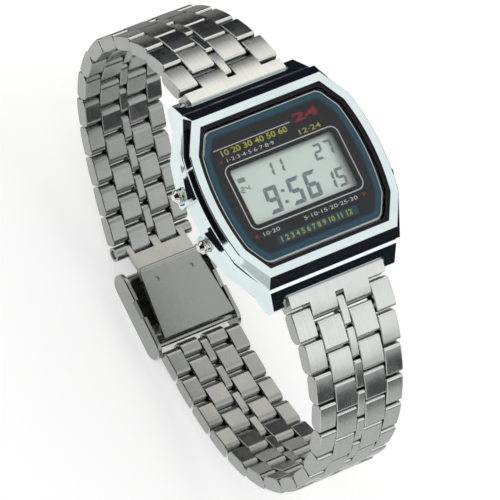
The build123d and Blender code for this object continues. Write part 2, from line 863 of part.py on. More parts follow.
def make_link(index, end_length):
    """One link: an outer row and the middle row it carries, with their pins, from zero along Y.

    end_length is how far the middle row reaches past its first pin.
    """
    outer = link_half_x(index)
    inner = mid_half_x(index) + belt_gap
    pieces = [belt(belt_length, -centre_belt_half_x, centre_belt_half_x, 0, 0)]
    for side, caps in ((-1, (belt_cap, 0)), (1, (0, belt_cap))):
        pieces.append(belt(belt_length, *reach_x(side, inner, outer), *caps))
        middle = belt(end_length, *reach_x(side, centre_belt_half_x + belt_gap, mid_half_x(index + 1)), 0, 0)
        pieces.append(Pos(0, belt_length, 0) * middle)
    first_half = outer - pin_inset
    pieces.append(rod_x(pin_radius, -first_half, first_half, belt_length, 0))
    if end_length == belt_length:
        second_half = link_half_x(index + 1) - pin_inset
        pieces.append(rod_x(pin_radius, -second_half, second_half, link_pitch, 0))
    return solids_of(pieces)


def chain_pins(end, headings):
    """The pins of one side of the bracelet, as (y, z), from the head to the clasp."""
    pins = [(end * first_pin_y, -first_pin_depth)]
    for heading in headings:
        y, z = pins[-1]
        angle = math.radians(heading)
        pins.append((y + end * link_pitch * math.cos(angle), z - link_pitch * math.sin(angle)))
    return pins


def closed_headings(end, headings, target):
    """The headings with an even turn and an even extra curl added so that the last pin meets its place."""
    count = len(headings)

    def miss(turn, curl):
        trimmed = [h + turn + curl * (i / (count - 1) - 1 / 2) for i, h in enumerate(headings)]
        y, z = chain_pins(end, trimmed)[-1]
        return trimmed, (y - target[0]) / link_pitch, (z - target[1]) / link_pitch

    turn = 0.0
    curl = 0.0
    for _ in range(20):
        _, miss_y, miss_z = miss(turn, curl)
        _, turned_y, turned_z = miss(turn + 1, curl)
        _, curled_y, curled_z = miss(turn, curl + 1)
        a = turned_y - miss_y
        b = curled_y - miss_y
        c = turned_z - miss_z
        d = curled_z - miss_z
        size = a * d - b * c
        turn -= (d * miss_y - b * miss_z) / size
        curl -= (a * miss_z - c * miss_y) / size
    return miss(turn, curl)[0]


def link_place(end, pin, heading):
    """Where a link drawn from zero along Y goes, with its outer face away from the wrist."""
    if end > 0:
        return Pos(0, *pin) * Rot(X=-heading)
    return Pos(0, *pin) * Rot(X=heading) * Rot(Z=180)


def make_chain(end, headings, name, last_reach):
    """Every link of one side of the bracelet, by its name."""
    pins = chain_pins(end, headings)
    links = {}
    for index, heading in enumerate(headings):
        reach = last_reach if index == len(headings) - 1 else belt_length
        place = link_place(end, pins[index], heading)
        links[f"{name}_link_{index + 1:02d}"] = place * make_link(index, reach)
    return links


def make_clasp_cover():
    """Outer clasp channel with pill-shaped flanges, its strap bar and its hinge pin."""
    middle_y = (cover_low_y + cover_high_y) / 2
    flange = SlotOverall(cover_high_y - cover_low_y, cover_height)
    placed = Plane.YZ * Pos(middle_y, cover_outer + cover_height / 2) * flange
    reach = channel_half_x + cover_wall
    pill = extrude(placed, amount=reach, both=True)
    rims = [edge for face in pill.faces().filter_by(Axis.X) for edge in face.outer_wire().edges()]
    pill = chamfer(rims, cover_edge_break)
    shell = pill - box_between(
        (-channel_half_x, cover_low_y - overrun, cover_outer + cover_floor),
        (channel_half_x, cover_high_y + overrun, cover_rim + overrun),
    )
    shell -= box_between(
        (-channel_half_x, cover_low_y - overrun, cover_outer - overrun),
        (channel_half_x, strap_bar_y + strap_bar_clearance, cover_rim + overrun),
    )
    notch_low = (-reach - overrun, cover_notch_low_y, cover_rim - cover_notch_depth)
    notch_high = (reach + overrun, cover_notch_low_y + cover_notch_length, cover_rim + overrun)
    shell -= box_between(notch_low, notch_high)
    for y, z in ((strap_bar_y, strap_bar_z), (cover_hinge_y, cover_hinge_z)):
        shell -= rod_x(clasp_pin_radius, -reach - overrun, reach + overrun, y, z)
    strap_bar = rod_x(clasp_pin_radius, -reach, reach, strap_bar_y, strap_bar_z)
    hinge_pin = rod_x(clasp_pin_radius, -reach, reach, cover_hinge_y, cover_hinge_z)
    return solids_of([shell, strap_bar, hinge_pin])


def knuckle(y, z, x_low, x_high):
    """A clasp knuckle with its bore still to be cut."""
    return rod_x(clasp_knuckle_radius, x_low, x_high, y, z)


def make_middle_blade():
    """Middle leaf of the clasp, lying in the cover, with knuckles and the pin to the inner leaf."""
    half = channel_half_x - blade_side_gap
    level = cover_hinge_z - clasp_knuckle_radius
    low = (-half, blade_hinge_y, level)
    leaf = box_between(low, (half, cover_hinge_y, level + blade_thickness))
    leaf += knuckle(cover_hinge_y, cover_hinge_z, -half, half)
    for side in (-1, 1):
        x_low, x_high = reach_x(side, middle_knuckle_half_x + flat_gap, half)
        leaf += knuckle(blade_hinge_y, blade_hinge_z, x_low, x_high)
        rise = (x_low, blade_hinge_y - clasp_knuckle_radius, level)
        leaf += box_between(rise, (x_high, blade_hinge_y, blade_hinge_z))
    room = middle_knuckle_half_x + flat_gap
    room_end = blade_hinge_y + clasp_knuckle_radius + flat_gap
    leaf -= box_between((-room, blade_hinge_y - overrun, cover_outer), (room, room_end, cover_rim + overrun))
    leaf -= rod_x(clasp_pin_radius + slide_fit, -half, half, cover_hinge_y, cover_hinge_z)
    leaf -= rod_x(clasp_pin_radius, -half, half, blade_hinge_y, blade_hinge_z)
    pin = rod_x(clasp_pin_radius, -half, half, blade_hinge_y, blade_hinge_z)
    return solids_of([leaf, pin])


def make_inner_blade():
    """Inner leaf against the wrist: tapering plate, rolled lip, knuckle and the hook to the strap."""
    corners = [
        (-inner_blade_low_half_x, inner_blade_low_y),
        (inner_blade_low_half_x, inner_blade_low_y),
        (inner_blade_high_half_x, inner_blade_high_y),
        (-inner_blade_high_half_x, inner_blade_high_y),
    ]
    leaf = slab(make_face(Polyline(*corners, close=True)), inner_blade_foot, inner_blade_top)
    half = middle_knuckle_half_x
    barrel = knuckle(blade_hinge_y, blade_hinge_z, -half, half)
    neck_low = (-half, blade_hinge_y - clasp_knuckle_radius, blade_hinge_z)
    neck_high = (half, blade_hinge_y + clasp_knuckle_radius, inner_blade_foot + blade_thickness / 2)
    leaf += barrel + box_between(neck_low, neck_high)
    leaf -= rod_x(clasp_pin_radius + slide_fit, -half, half, blade_hinge_y, blade_hinge_z)
    lip_z = inner_blade_top - inner_lip_radius
    leaf += rod_x(
        inner_lip_radius + bezel_edge_break, -inner_blade_high_half_x, inner_blade_high_half_x,
        inner_blade_high_y - inner_lip_radius, lip_z,
    )
    dimple_low = inner_blade_top - dimple_depth
    for side in (-1, 1):
        leaf -= rod_z(dimple_radius, dimple_low, inner_blade_top + overrun, side * dimple_x, dimple_y)
    return leaf + hook_plate()


def hook_plate():
    """The cranked tongue from the inner leaf to the last pin of the upper strap."""
    outer = last_link_half_x
    run = [
        (inner_blade_high_y - inner_lip_radius, inner_blade_top),
        (hook_pin_y, hook_pin_z + belt_radius),
        (hook_pin_y, hook_pin_z + belt_radius - blade_thickness),
        (inner_blade_high_y - inner_lip_radius, inner_blade_foot),
    ]
    tongue = prism_x(run, -inner_blade_high_half_x, inner_blade_high_half_x)
    mid_edge = mid_half_x(len(upper_headings_deg))
    barrels = rod_x(belt_radius, -centre_belt_half_x, centre_belt_half_x, hook_pin_y, hook_pin_z)
    for side in (-1, 1):
        barrels += rod_x(belt_radius, *reach_x(side, mid_edge + belt_gap, outer), hook_pin_y, hook_pin_z)
    reach = belt_radius + 2 * belt_gap
    for side in (-1, 1):
        window_low, window_high = reach_x(side, centre_belt_half_x, mid_edge + belt_gap)
        low = (window_low, hook_pin_y - reach, hook_pin_z - reach)
        tongue -= box_between(low, (window_high, hook_pin_y + reach, hook_pin_z + reach + blade_thickness))
    plate = tongue + barrels
    return plate - rod_x(belt_bore, -outer, outer, hook_pin_y, hook_pin_z)


def make_everything():
    """Every node by its name, in the frame of the dial."""
    nodes = {
        "case_body": make_case_body(),
        "bezel": make_bezel(),
        "crystal": make_crystal(),
        "crystal_gasket": make_gasket(),
        "dial_plate": make_dial_plate(),
        "lcd_panel": make_lcd(),
        "module_frame": make_module_frame(),
        "circuit_board": make_circuit_board(),
        "lcd_connectors": make_connectors(),
        "battery": make_battery(),
        "battery_clip": make_battery_clip(),
        "quartz_can": make_quartz(),
        "backlight_lamp": make_lamp(),
        "piezo_buzzer": make_buzzer(),
        "buzzer_spring": make_buzzer_spring(),
        "case_back": make_case_back(),
        "back_gasket": make_back_gasket(),
        "back_screws": make_back_screws(),
        "button_seals": make_button_seals(),
        "upper_spring_bar": make_spring_bar(1),
        "lower_spring_bar": make_spring_bar(-1),
        "upper_end_link": make_end_link(1),
        "lower_end_link": make_end_link(-1),
        "clasp_cover": make_clasp_cover(),
        "clasp_middle_blade": make_middle_blade(),
        "clasp_inner_blade": make_inner_blade(),
    }
    for name, (side, y) in button_places().items():
        nodes[name] = make_button(side, y)
        nodes[name.replace("button", "spring")] = make_button_spring(side, y)
    nodes.update(make_chain(1, upper_headings, "upper", belt_length))
    cut_reach = belt_length - clasp_pin_radius - strap_bar_clearance - belt_radius
    nodes.update(make_chain(-1, lower_headings, "lower", cut_reach))
    return nodes


upper_headings = closed_headings(1, upper_headings_deg, (hook_pin_y, hook_pin_z))
lower_headings = closed_headings(-1, lower_headings_deg, (strap_bar_y, strap_bar_z))
nodes = make_everything()
extent = Compound(children=[Compound(children=node.solids()) for node in nodes.values()]).bounding_box()
shift = Vector(-extent.center().X, -extent.center().Y, -extent.min.Z)

os.makedirs("parts", exist_ok=True)
for name, node in nodes.items():
    export_step(Pos(shift) * Compound(children=node.solids()), f"parts/{name}.step")
print("moved by", shift)
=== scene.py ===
"""Looks of a slim digital watch on a folded-link steel bracelet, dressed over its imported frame.

The solids stay where they are and take a finish here. What is printed round the display and what
the display shows are thin meshes of their own, laid on the solids that carry them. The watch's
sizes are in millimetres, and are turned into metres where a mesh is made. The studio's sizes are
in metres.
"""

from __future__ import annotations

import json
import logging
import math
from dataclasses import dataclass, field
from enum import Enum

import bmesh
import bpy
from mathutils import Matrix, Vector

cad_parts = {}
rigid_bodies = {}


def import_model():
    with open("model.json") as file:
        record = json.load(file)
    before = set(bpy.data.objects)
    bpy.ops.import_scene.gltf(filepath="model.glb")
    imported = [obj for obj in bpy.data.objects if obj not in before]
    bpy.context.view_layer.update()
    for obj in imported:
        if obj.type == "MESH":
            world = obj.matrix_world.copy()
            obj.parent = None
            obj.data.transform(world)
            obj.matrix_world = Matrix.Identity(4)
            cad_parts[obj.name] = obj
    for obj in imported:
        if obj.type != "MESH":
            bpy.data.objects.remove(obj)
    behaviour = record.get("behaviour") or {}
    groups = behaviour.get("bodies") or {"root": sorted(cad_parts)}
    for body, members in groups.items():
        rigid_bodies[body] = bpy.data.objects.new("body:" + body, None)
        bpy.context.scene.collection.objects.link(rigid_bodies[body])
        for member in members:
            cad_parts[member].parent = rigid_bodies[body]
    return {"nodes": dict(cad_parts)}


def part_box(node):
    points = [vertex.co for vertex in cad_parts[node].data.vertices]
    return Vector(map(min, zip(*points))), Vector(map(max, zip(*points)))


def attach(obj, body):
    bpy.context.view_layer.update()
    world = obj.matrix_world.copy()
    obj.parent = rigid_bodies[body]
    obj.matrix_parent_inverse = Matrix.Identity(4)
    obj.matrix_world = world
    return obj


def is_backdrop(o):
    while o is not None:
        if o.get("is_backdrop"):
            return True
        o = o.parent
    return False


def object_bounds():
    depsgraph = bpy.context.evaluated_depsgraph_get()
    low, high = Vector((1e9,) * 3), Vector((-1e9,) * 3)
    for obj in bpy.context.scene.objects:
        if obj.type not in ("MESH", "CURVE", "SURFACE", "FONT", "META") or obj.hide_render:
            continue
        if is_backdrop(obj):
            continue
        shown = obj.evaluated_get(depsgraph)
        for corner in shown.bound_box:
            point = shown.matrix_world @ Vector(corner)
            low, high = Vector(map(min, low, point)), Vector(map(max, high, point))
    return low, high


MM = 0.001
LOG = logging.getLogger("watch")

Colour = tuple[float, float, float]
Corner = tuple[float, float, float]
Point = tuple[float, float]
Loop = list[Point]

# Sides of a rounded corner, and how far the display's digits lean in shares of their height.
CORNER_STEPS = 8
SLANT = 0.12

# How fine the printing screen and the display's reflector are, in features a millimetre.
SCREEN = 8.0
SPECKLE = 11.0

# What the studio's cards are dyed.
BLACK: Colour = (0.012, 0.013, 0.02)
DARK: Colour = (0.36, 0.355, 0.34)
GREY: Colour = (0.76, 0.77, 0.77)
PALE: Colour = (0.9, 0.91, 0.91)


def ink(red: int, green: int, blue: int) -> Colour:
    """Turn a printed colour, 0 to 255 a channel, into the linear values that shaders take.

    Args:
        red: Red as a paint chart gives it.
        green: Green as a paint chart gives it.
        blue: Blue as a paint chart gives it.

    Returns:
        The three linear channels.
    """
    shares = (red / 255, green / 255, blue / 255)
    return tuple(
        share / 12.92 if share <= 0.04045 else ((share + 0.055) / 1.055) ** 2.4 for share in shares
    )


def scaled(colour: Colour, share: float) -> Colour:
    """Return a colour at a share of its strength."""
    return tuple(channel * share for channel in colour)


def placed(name: str, data: bpy.types.ID) -> bpy.types.Object:
    """Put a new object into the scene.

    Args:
        name: The object's name.
        data: The mesh, curve, lamp or camera that it shows.

    Returns:
        The object.
    """
    made = bpy.data.objects.new(name, data)
    bpy.context.scene.collection.objects.link(made)
    return made


class Value:
    """A number that varies over a surface, with Python's operators adding its Math nodes."""

    def __init__(self, graph: Graph, socket: bpy.types.NodeSocket) -> None:
        """Wrap an output socket of a graph."""
        self.graph = graph
        self.socket = socket

    def __add__(self, other: Term) -> Value:
        """Return the sum."""
        return self.graph.maths("ADD", self, other)

    def __radd__(self, other: Term) -> Value:
        """Return the sum, with the number first."""
        return self.graph.maths("ADD", other, self)

    def __sub__(self, other: Term) -> Value:
        """Return the difference."""
        return self.graph.maths("SUBTRACT", self, other)

    def __rsub__(self, other: Term) -> Value:
        """Return the difference, with the number first."""
        return self.graph.maths("SUBTRACT", other, self)

    def __mul__(self, other: Term) -> Value:
        """Return the product."""
        return self.graph.maths("MULTIPLY", self, other)

    def __rmul__(self, other: Term) -> Value:
        """Return the product, with the number first."""
        return self.graph.maths("MULTIPLY", other, self)

    def __truediv__(self, other: Term) -> Value:
        """Return the quotient."""
        return self.graph.maths("DIVIDE", self, other)

    def __rtruediv__(self, other: Term) -> Value:
        """Return the quotient, with the number first."""
        return self.graph.maths("DIVIDE", other, self)

    def __pow__(self, other: Term) -> Value:
        """Return the power."""
        return self.graph.maths("POWER", self, other)

    def __rpow__(self, other: Term) -> Value:
        """Return the power, with the number first."""
        return self.graph.maths("POWER", other, self)

    def size(self) -> Value:
        """Return the value without its sign."""
        return self.graph.maths("ABSOLUTE", self)

    def either(self, other: Term) -> Value:
        """Return the larger of the two."""
        return self.graph.maths("MAXIMUM", self, other)

    def both(self, other: Term) -> Value:
        """Return the smaller of the two."""
        return self.graph.maths("MINIMUM", self, other)

    def wave(self) -> Value:
        """Return the sine."""
        return self.graph.maths("SINE", self)

    def step(self, low: float, high: float) -> Value:
        """Rise smoothly from 0 at low to 1 at high, or fall where low is the larger."""
        settings = {"interpolation_type": "SMOOTHSTEP"}
        return self.graph.value("ShaderNodeMapRange", settings, {"Value": self, 1: low, 2: high})


Term = Value | float


class Graph:
    """The node tree of one material or world, built from calls and expressions."""

    def __init__(self, owner: bpy.types.Material | bpy.types.World) -> None:
        """Empty the owner's node tree and add its output.

        Args:
            owner: The material or world to fill.
        """
        owner.use_nodes = True
        self.tree = owner.node_tree
        self.tree.nodes.clear()
        kind = "World" if isinstance(owner, bpy.types.World) else "Material"
        self.output = self.tree.nodes.new("ShaderNodeOutput" + kind)

    def node(
        self, kind: str, settings: dict | None = None, inputs: dict | None = None
    ) -> bpy.types.Node:
        """Add a node, set it up, then fill its sockets.

        Args:
            kind: The node's type.
            settings: Properties by name, such as a Math node's operation.
            inputs: Values or links by socket name or number.

        Returns:
            The new node.
        """
        made = self.tree.nodes.new(kind)
        for name, setting in (settings or {}).items():
            setattr(made, name, setting)
        for key, given in (inputs or {}).items():
            self.feed(made.inputs[key], given)
        return made

    def feed(self, socket: bpy.types.NodeSocket, given: object) -> None:
        """Link or set one input socket.

        Args:
            socket: The input to fill.
            given: A Value, an output socket, a number or a colour.
        """
        if isinstance(given, Value):
            given = given.socket
        if isinstance(given, bpy.types.NodeSocket):
            self.tree.links.new(given, socket)
        elif isinstance(given, tuple) and socket.type == "RGBA":
            socket.default_value = (*given, 1.0)
        else:
            socket.default_value = given

    def value(
        self, kind: str, settings: dict | None, inputs: dict | None, output: str | int = 0
    ) -> Value:
        """Add a node as the method node does, and wrap one of its outputs."""
        return Value(self, self.node(kind, settings, inputs).outputs[output])

    def maths(self, operation: str, *terms: Term) -> Value:
        """Return a Math node's result on one or two terms."""
        return self.value("ShaderNodeMath", {"operation": operation}, dict(enumerate(terms)))

    def vector(self, operation: str, *terms: object) -> bpy.types.bpy_prop_collection:
        """Return the outputs of a Vector Math node on two terms."""
        settings = {"operation": operation}
        return self.node("ShaderNodeVectorMath", settings, dict(enumerate(terms))).outputs

    def spot(self) -> bpy.types.NodeSocket:
        """Return where a point of a piece lies in the frame of the whole watch, in metres."""
        return self.node("ShaderNodeTexCoord").outputs["Object"]

    def along(self, axis: str) -> Value:
        """Return one coordinate of that place, "X", "Y" or "Z", in millimetres."""
        return self.value("ShaderNodeSeparateXYZ", None, {0: self.spot()}, axis) / MM

    def facing(self, middle: Corner) -> Value:
        """Return how far the surface looks towards a middle, and less than 0 if away from it.

        Args:
            middle: The middle, in metres.

        Returns:
            The distance to the middle along the surface's normal, in metres.
        """
        place = self.node("ShaderNodeTexCoord").outputs
        run = self.vector("SUBTRACT", middle, place["Object"])[0]
        flat = self.vector("MULTIPLY", run, (0.0, 1.0, 1.0))[0]
        return Value(self, self.vector("DOT_PRODUCT", flat, place["Normal"])["Value"])

    def sideways(self) -> Value:
        """Return how squarely the surface looks to 3 or 9 o'clock, from 0 to 1."""
        normal = self.node("ShaderNodeTexCoord").outputs["Normal"]
        return self.value("ShaderNodeSeparateXYZ", None, {0: normal}, "X").size()

    def grain(self, per_mm: Corner | float, detail: float = 2.0, sharp: float = 0.5) -> Value:
        """Return noise from 0 to 1 with its own fineness along each axis.

        Args:
            per_mm: Features in a millimetre along X, Y and Z, or one number for all three.
            detail: How many finer layers are added.
            sharp: How strong the finer layers are.

        Returns:
            The noise.
        """
        fineness = per_mm if isinstance(per_mm, tuple) else (per_mm,) * 3
        place = self.vector("MULTIPLY", self.spot(), scaled(fineness, 1 / MM))[0]
        inputs = {"Vector": place, "Scale": 1.0, "Detail": detail, "Roughness": sharp}
        return self.value("ShaderNodeTexNoise", {"noise_dimensions": "3D"}, inputs, "Fac")

    def shade(self, share: Term, low: object, high: object) -> bpy.types.NodeSocket:
        """Mix two colours, from the first at a share of 0 to the second at 1."""
        inputs = {0: share, 6: low, 7: high}
        return self.node("ShaderNodeMix", {"data_type": "RGBA"}, inputs).outputs[2]

    def relief(self, height: Term, depth_mm: float, strength: float = 1.0) -> bpy.types.NodeSocket:
        """Return a bumped normal from a height of 0 to 1 and how deep its full range is."""
        inputs = {"Strength": strength, "Distance": depth_mm * MM, "Height": height}
        return self.node("ShaderNodeBump", None, inputs).outputs["Normal"]

    def seen(self) -> Value:
        """Return 1 for a ray that shows or mirrors a surface, and 0 for one that only lights.

        Returns:
            The mask.
        """
        path = self.node("ShaderNodeLightPath").outputs
        found = Value(self, path["Is Camera Ray"])
        for kind in ("Is Glossy Ray", "Is Transmission Ray"):
            found = found.either(Value(self, path[kind]))
        return found

    def close(self, shader: bpy.types.Node) -> None:
        """Join a shader to the output."""
        self.tree.links.new(shader.outputs[0], self.output.inputs["Surface"])


@dataclass(frozen=True)
class Finish:
    """What every finish shares: a name, and a principled shader that a subclass fills."""

    name: str

    def material(self) -> bpy.types.Material:
        """Make the finish's material, the first time it is asked for.

        Returns:
            The material.
        """
        known = bpy.data.materials.get(self.name)
        if known is not None:
            return known
        made = bpy.data.materials.new(self.name)
        graph = Graph(made)
        graph.close(graph.node("ShaderNodeBsdfPrincipled", None, self.sockets(graph)))
        return made

    def sockets(self, graph: Graph) -> dict[str, object]:
        """Return what feeds the principled shader: values and links by socket name."""
        raise NotImplementedError


@dataclass(frozen=True)
class BrightPlate(Finish):
    """Polished bright plating with faint wiping marks."""

    tint: Colour = ink(222, 236, 236)
    gloss: float = 0.06
    smear: float = 0.06

    def sockets(self, graph: Graph) -> dict[str, object]:
        """Return a mirror finish that is a little duller where it has been handled.

        Args:
            graph: The material's graph.

        Returns:
            Values and links by socket name.
        """
        cloud = graph.grain(0.16, 3.0)
        wipe = graph.grain((0.9, 7.0, 7.0), 2.0, 0.6)
        return {
            "Base Color": graph.shade(cloud.step(0.35, 0.7), self.tint, scaled(self.tint, 0.93)),
            "Metallic": 1.0,
            "Roughness": self.gloss + cloud.step(0.45, 0.75) * self.smear + wipe * 0.03,
            "Normal": graph.relief(wipe, 0.0004, 0.35),
        }


@dataclass(frozen=True)
class GroovedPlate(BrightPlate):
    """Bright plating with black along its flanks round two grooves, and painted shade in the
    bezel's opening.

    Each pair of numbers says where the black starts and where it is full, in millimetres.
    """

    fill: Colour = ink(20, 20, 26)
    middle_y: float = 2.59
    top: float = 57.5
    opening: Point = (1.44, 1.49)
    upper_edge: Point = (-0.14, -0.18)
    lower_edge: Point = (-1.62, -1.56)
    inner_edge: Point = (0.95, 0.85)
    foot: Point = (-6.3, -5.7)
    mitre: Point = (0.0, 0.06)
    bridge_y: float = 7.0
    bridge: Point = (0.12, 0.2)

    def sockets(self, graph: Graph) -> dict[str, object]:
        """Return the plating, black by how far a point lies inside the facet's outline, with
        painted shade in the opening.

        Args:
            graph: The material's graph.

        Returns:
            Values and links by socket name.
        """
        outline = Outline()
        radius, centre = outline.flank()
        lean_x, lean_y = outline.corner_lean()
        out_x = graph.along("X").size()
        up_y = graph.along("Y") - self.middle_y
        out_y = up_y.size()
        low = graph.along("Z") - self.top
        from_centre = out_x - centre
        flank = (from_centre * from_centre + out_y * out_y) ** 0.5 - radius
        reach = lean_x * outline.corner_x + lean_y * outline.half_y
        side = 0.0 - flank.either(out_x * lean_x + out_y * lean_y - reach)
        end = outline.half_y - out_y
        run = up_y.step(*self.foot) * (end - side).step(*self.mitre)
        gap = (up_y - self.bridge_y).size().step(*self.bridge)
        band = low.step(*self.upper_edge) * low.step(*self.lower_edge) * side.step(*self.inner_edge)
        # Black along the grooves, joined with painted shade on the wall and shelf of the opening
        # under the window.
        groove_black_and_opening_shade = (run * gap * band).either(side.both(end).step(*self.opening))
        found = super().sockets(graph)
        found["Base Color"] = graph.shade(groove_black_and_opening_shade, found["Base Color"], self.fill)
        found["Metallic"] = 1.0 - groove_black_and_opening_shade
        found["Roughness"] = found["Roughness"] + groove_black_and_opening_shade * 0.25
        found["Specular IOR Level"] = 0.2
        return found


@dataclass(frozen=True)
class SatinSteel(Finish):
    """Stainless steel brushed along the bracelet, with painted shade at its sides and on faces
    towards the wrist.
    """

    tint: Colour = ink(204, 206, 203)
    gloss: float = 0.2
    lines_per_mm: float = 14.0
    line_depth: float = 0.0008
    wrist_shade_share: float = 0.52
    side_shade_share: float = 0.64
    edge: Point = (0.8, 0.97)
    wrist: Corner = (0.0, 0.0, 0.03)

    def sockets(self, graph: Graph) -> dict[str, object]:
        """Return brushed steel, whose lines are even along Y and Z and fine along X.

        Args:
            graph: The material's graph.

        Returns:
            Values and links by socket name.
        """
        fine = graph.grain((self.lines_per_mm, 0.05, 0.05), 3.0, 0.65)
        broad = graph.grain((1.6, 0.04, 0.04))
        cloud = graph.grain(0.3)
        streak = fine * 0.75 + broad * 0.25
        face = graph.shade(streak.step(0.3, 0.7), scaled(self.tint, 0.88), self.tint)
        # Painted shade on the faces that look to 3 or 9 o'clock.
        side = scaled(self.tint, self.side_shade_share)
        outer = graph.shade(graph.sideways().step(*self.edge), face, side)
        # Painted shade on the faces that look towards the wrist, inside the bracelet's loop.
        inwards = graph.facing(self.wrist).step(0.0, 0.01)
        return {
            "Base Color": graph.shade(inwards, outer, scaled(self.tint, self.wrist_shade_share)),
            "Metallic": 1.0,
            "Roughness": self.gloss + streak * 0.1 + cloud.step(0.4, 0.7) * 0.05,
            "Normal": graph.relief(streak, self.line_depth),
        }


@dataclass(frozen=True)
class TurnedSteel(Finish):
    """Bright turned or drawn steel of small round pieces."""

    tint: Colour = ink(228, 227, 220)
    gloss: float = 0.12

    def sockets(self, graph: Graph) -> dict[str, object]:
        """Return bright steel with faint rings from the tool, across X.

        Args:
            graph: The material's graph.

        Returns:
            Values and links by socket name.
        """
        rings = graph.grain((11.0, 0.3, 0.3), 2.0, 0.6)
        worn = graph.grain(1.1, 3.0)
        return {
            "Base Color": graph.shade(worn.step(0.45, 0.75), self.tint, scaled(self.tint, 0.85)),
            "Metallic": 1.0,
            "Roughness": self.gloss + rings * 0.05 + worn.step(0.5, 0.8) * 0.05,
            "Normal": graph.relief(rings, 0.0003, 0.6),
        }


@dataclass(frozen=True)
class ClearWindow(Finish):
    """Clear mineral window with a trace of dust."""

    index: float = 1.24

    def sockets(self, graph: Graph) -> dict[str, object]:
        """Return clear glass, a shade duller in a few places.

        Args:
            graph: The material's graph.

        Returns:
            Values and links by socket name.
        """
        dust = graph.grain(0.7, 4.0, 0.7)
        return {
            "Base Color": graph.shade(dust.step(0.6, 0.9), (0.985, 0.99, 0.99), (0.95, 0.96, 0.96)),
            "Roughness": dust.step(0.62, 0.95) * 0.02,
            "Transmission Weight": 1.0,
            "IOR": self.index,
        }


@dataclass(frozen=True)
class Moulded(Finish):
    """Moulded rubber or plastic with a fine spark-eroded skin."""

    tint: Colour = ink(38, 38, 40)
    gloss: float = 0.5
    per_mm: float = 9.0
    depth: float = 0.004
    shine: float = 0.5

    def sockets(self, graph: Graph) -> dict[str, object]:
        """Return a fine even grain under a slow change of tone.

        Args:
            graph: The material's graph.

        Returns:
            Values and links by socket name.
        """
        skin = graph.grain(self.per_mm, 3.0, 0.6)
        cloud = graph.grain(0.5)
        pale = tuple(min(1.0, channel * 1.5 + 0.004) for channel in self.tint)
        return {
            "Base Color": graph.shade(cloud.step(0.3, 0.8) * 0.6 + skin * 0.25, self.tint, pale),
            "Roughness": self.gloss + (skin - 0.5) * 0.2,
            "Specular IOR Level": self.shine,
            "Normal": graph.relief(skin, self.depth),
        }


@dataclass(frozen=True)
class PrintedInk(Finish):
    """Screen-printed ink, slightly raised and a little uneven."""

    tint: Colour = ink(230, 232, 232)
    gloss: float = 0.4
    uneven: float = 0.16
    raised: float = 0.5

    def sockets(self, graph: Graph) -> dict[str, object]:
        """Return ink over the mesh of the screen.

        Args:
            graph: The material's graph.

        Returns:
            Values and links by socket name.
        """
        mesh = graph.grain(SCREEN, 2.0, 0.6)
        return {
            "Base Color": self.tone(graph, mesh),
            "Roughness": self.gloss + mesh * 0.1,
            "Specular IOR Level": 0.15,
            "Normal": graph.relief(mesh, 0.0003, self.raised),
        }

    def tone(self, graph: Graph, mesh: Value) -> bpy.types.NodeSocket:
        """Return the ink's colour, with the mesh just visible in it."""
        return graph.shade(mesh.step(0.35, 0.65), scaled(self.tint, 1 - self.uneven), self.tint)


@dataclass(frozen=True)
class FadingBand(PrintedInk):
    """A printed band that fades into the panel at both edges."""

    tint: Colour = ink(18, 78, 98)
    gloss: float = 0.36
    raised: float = 0.4
    panel: Colour = ink(19, 24, 31)
    outer_fade: Point = (0.0, 0.14)
    inner_fade: Point = (1.0, 0.62)

    def tone(self, graph: Graph, mesh: Value) -> bpy.types.NodeSocket:
        """Return the band's colour, from the share across it that the mesh's vertices carry.

        Args:
            graph: The material's graph.
            mesh: The mesh of the screen, from 0 to 1.

        Returns:
            The colour.
        """
        across = graph.value("ShaderNodeAttribute", {"attribute_name": "across"}, None, "Fac")
        fade = across.step(*self.outer_fade) * across.step(*self.inner_fade)
        return graph.shade(fade * (0.86 + mesh * 0.28).both(1.0), self.panel, self.tint)


@dataclass(frozen=True)
class DisplayCell(Finish):
    """Grey-green reflector behind the liquid crystal, with the panel's shadow painted along two
    edges.
    """

    tint: Colour = ink(231, 246, 238)
    shadow: Colour = ink(100, 116, 118)
    middle_y: float = 2.215
    shadow_x: Point = (7.65, 10.15)
    shadow_y: Point = (4.0, 5.3)
    shadow_depth: float = 0.75

    def sockets(self, graph: Graph) -> dict[str, object]:
        """Return the reflector's speckle and a soft painted shadow of the panel towards 3 and 12
        o'clock.

        Args:
            graph: The material's graph.

        Returns:
            Values and links by socket name.
        """
        speckle = graph.grain(SPECKLE, 2.0, 0.7)
        cloud = graph.grain((0.18, 0.25, 0.2))
        # Painted shadow of the panel's edges on the reflector, towards 3 and 12 o'clock.
        right = graph.along("X").step(*self.shadow_x)
        high = (graph.along("Y") - self.middle_y).step(*self.shadow_y)
        uneven = cloud.step(0.3, 0.7) * 0.6 + speckle * 0.3
        ground = graph.shade(uneven, self.tint, scaled(self.tint, 0.94))
        panel_shadow = right.either(high * 0.7) * self.shadow_depth
        return {
            "Base Color": graph.shade(panel_shadow, ground, self.shadow),
            "Roughness": 0.42 + speckle * 0.12,
            "Normal": graph.relief(speckle, 0.0015, 0.4),
        }


@dataclass(frozen=True)
class DarkSegment(Finish):
    """A switched-on segment: the cell's own surface, darkened; at part cover, a painted shadow of a
    segment.
    """

    tint: Colour = ink(118, 130, 136)
    cover: float = 1.0

    def sockets(self, graph: Graph) -> dict[str, object]:
        """Return the segment's grey, a little uneven like the reflector behind it.

        Args:
            graph: The material's graph.

        Returns:
            Values and links by socket name.
        """
        speckle = graph.grain(SPECKLE, 2.0, 0.7)
        found: dict[str, object] = {
            "Base Color": graph.shade(speckle.step(0.3, 0.7), self.tint, scaled(self.tint, 1.25)),
            "Roughness": 0.42 + speckle * 0.1,
        }
        if self.cover < 1.0:
            found["Alpha"] = self.cover * (0.9 + speckle * 0.1)
        return found


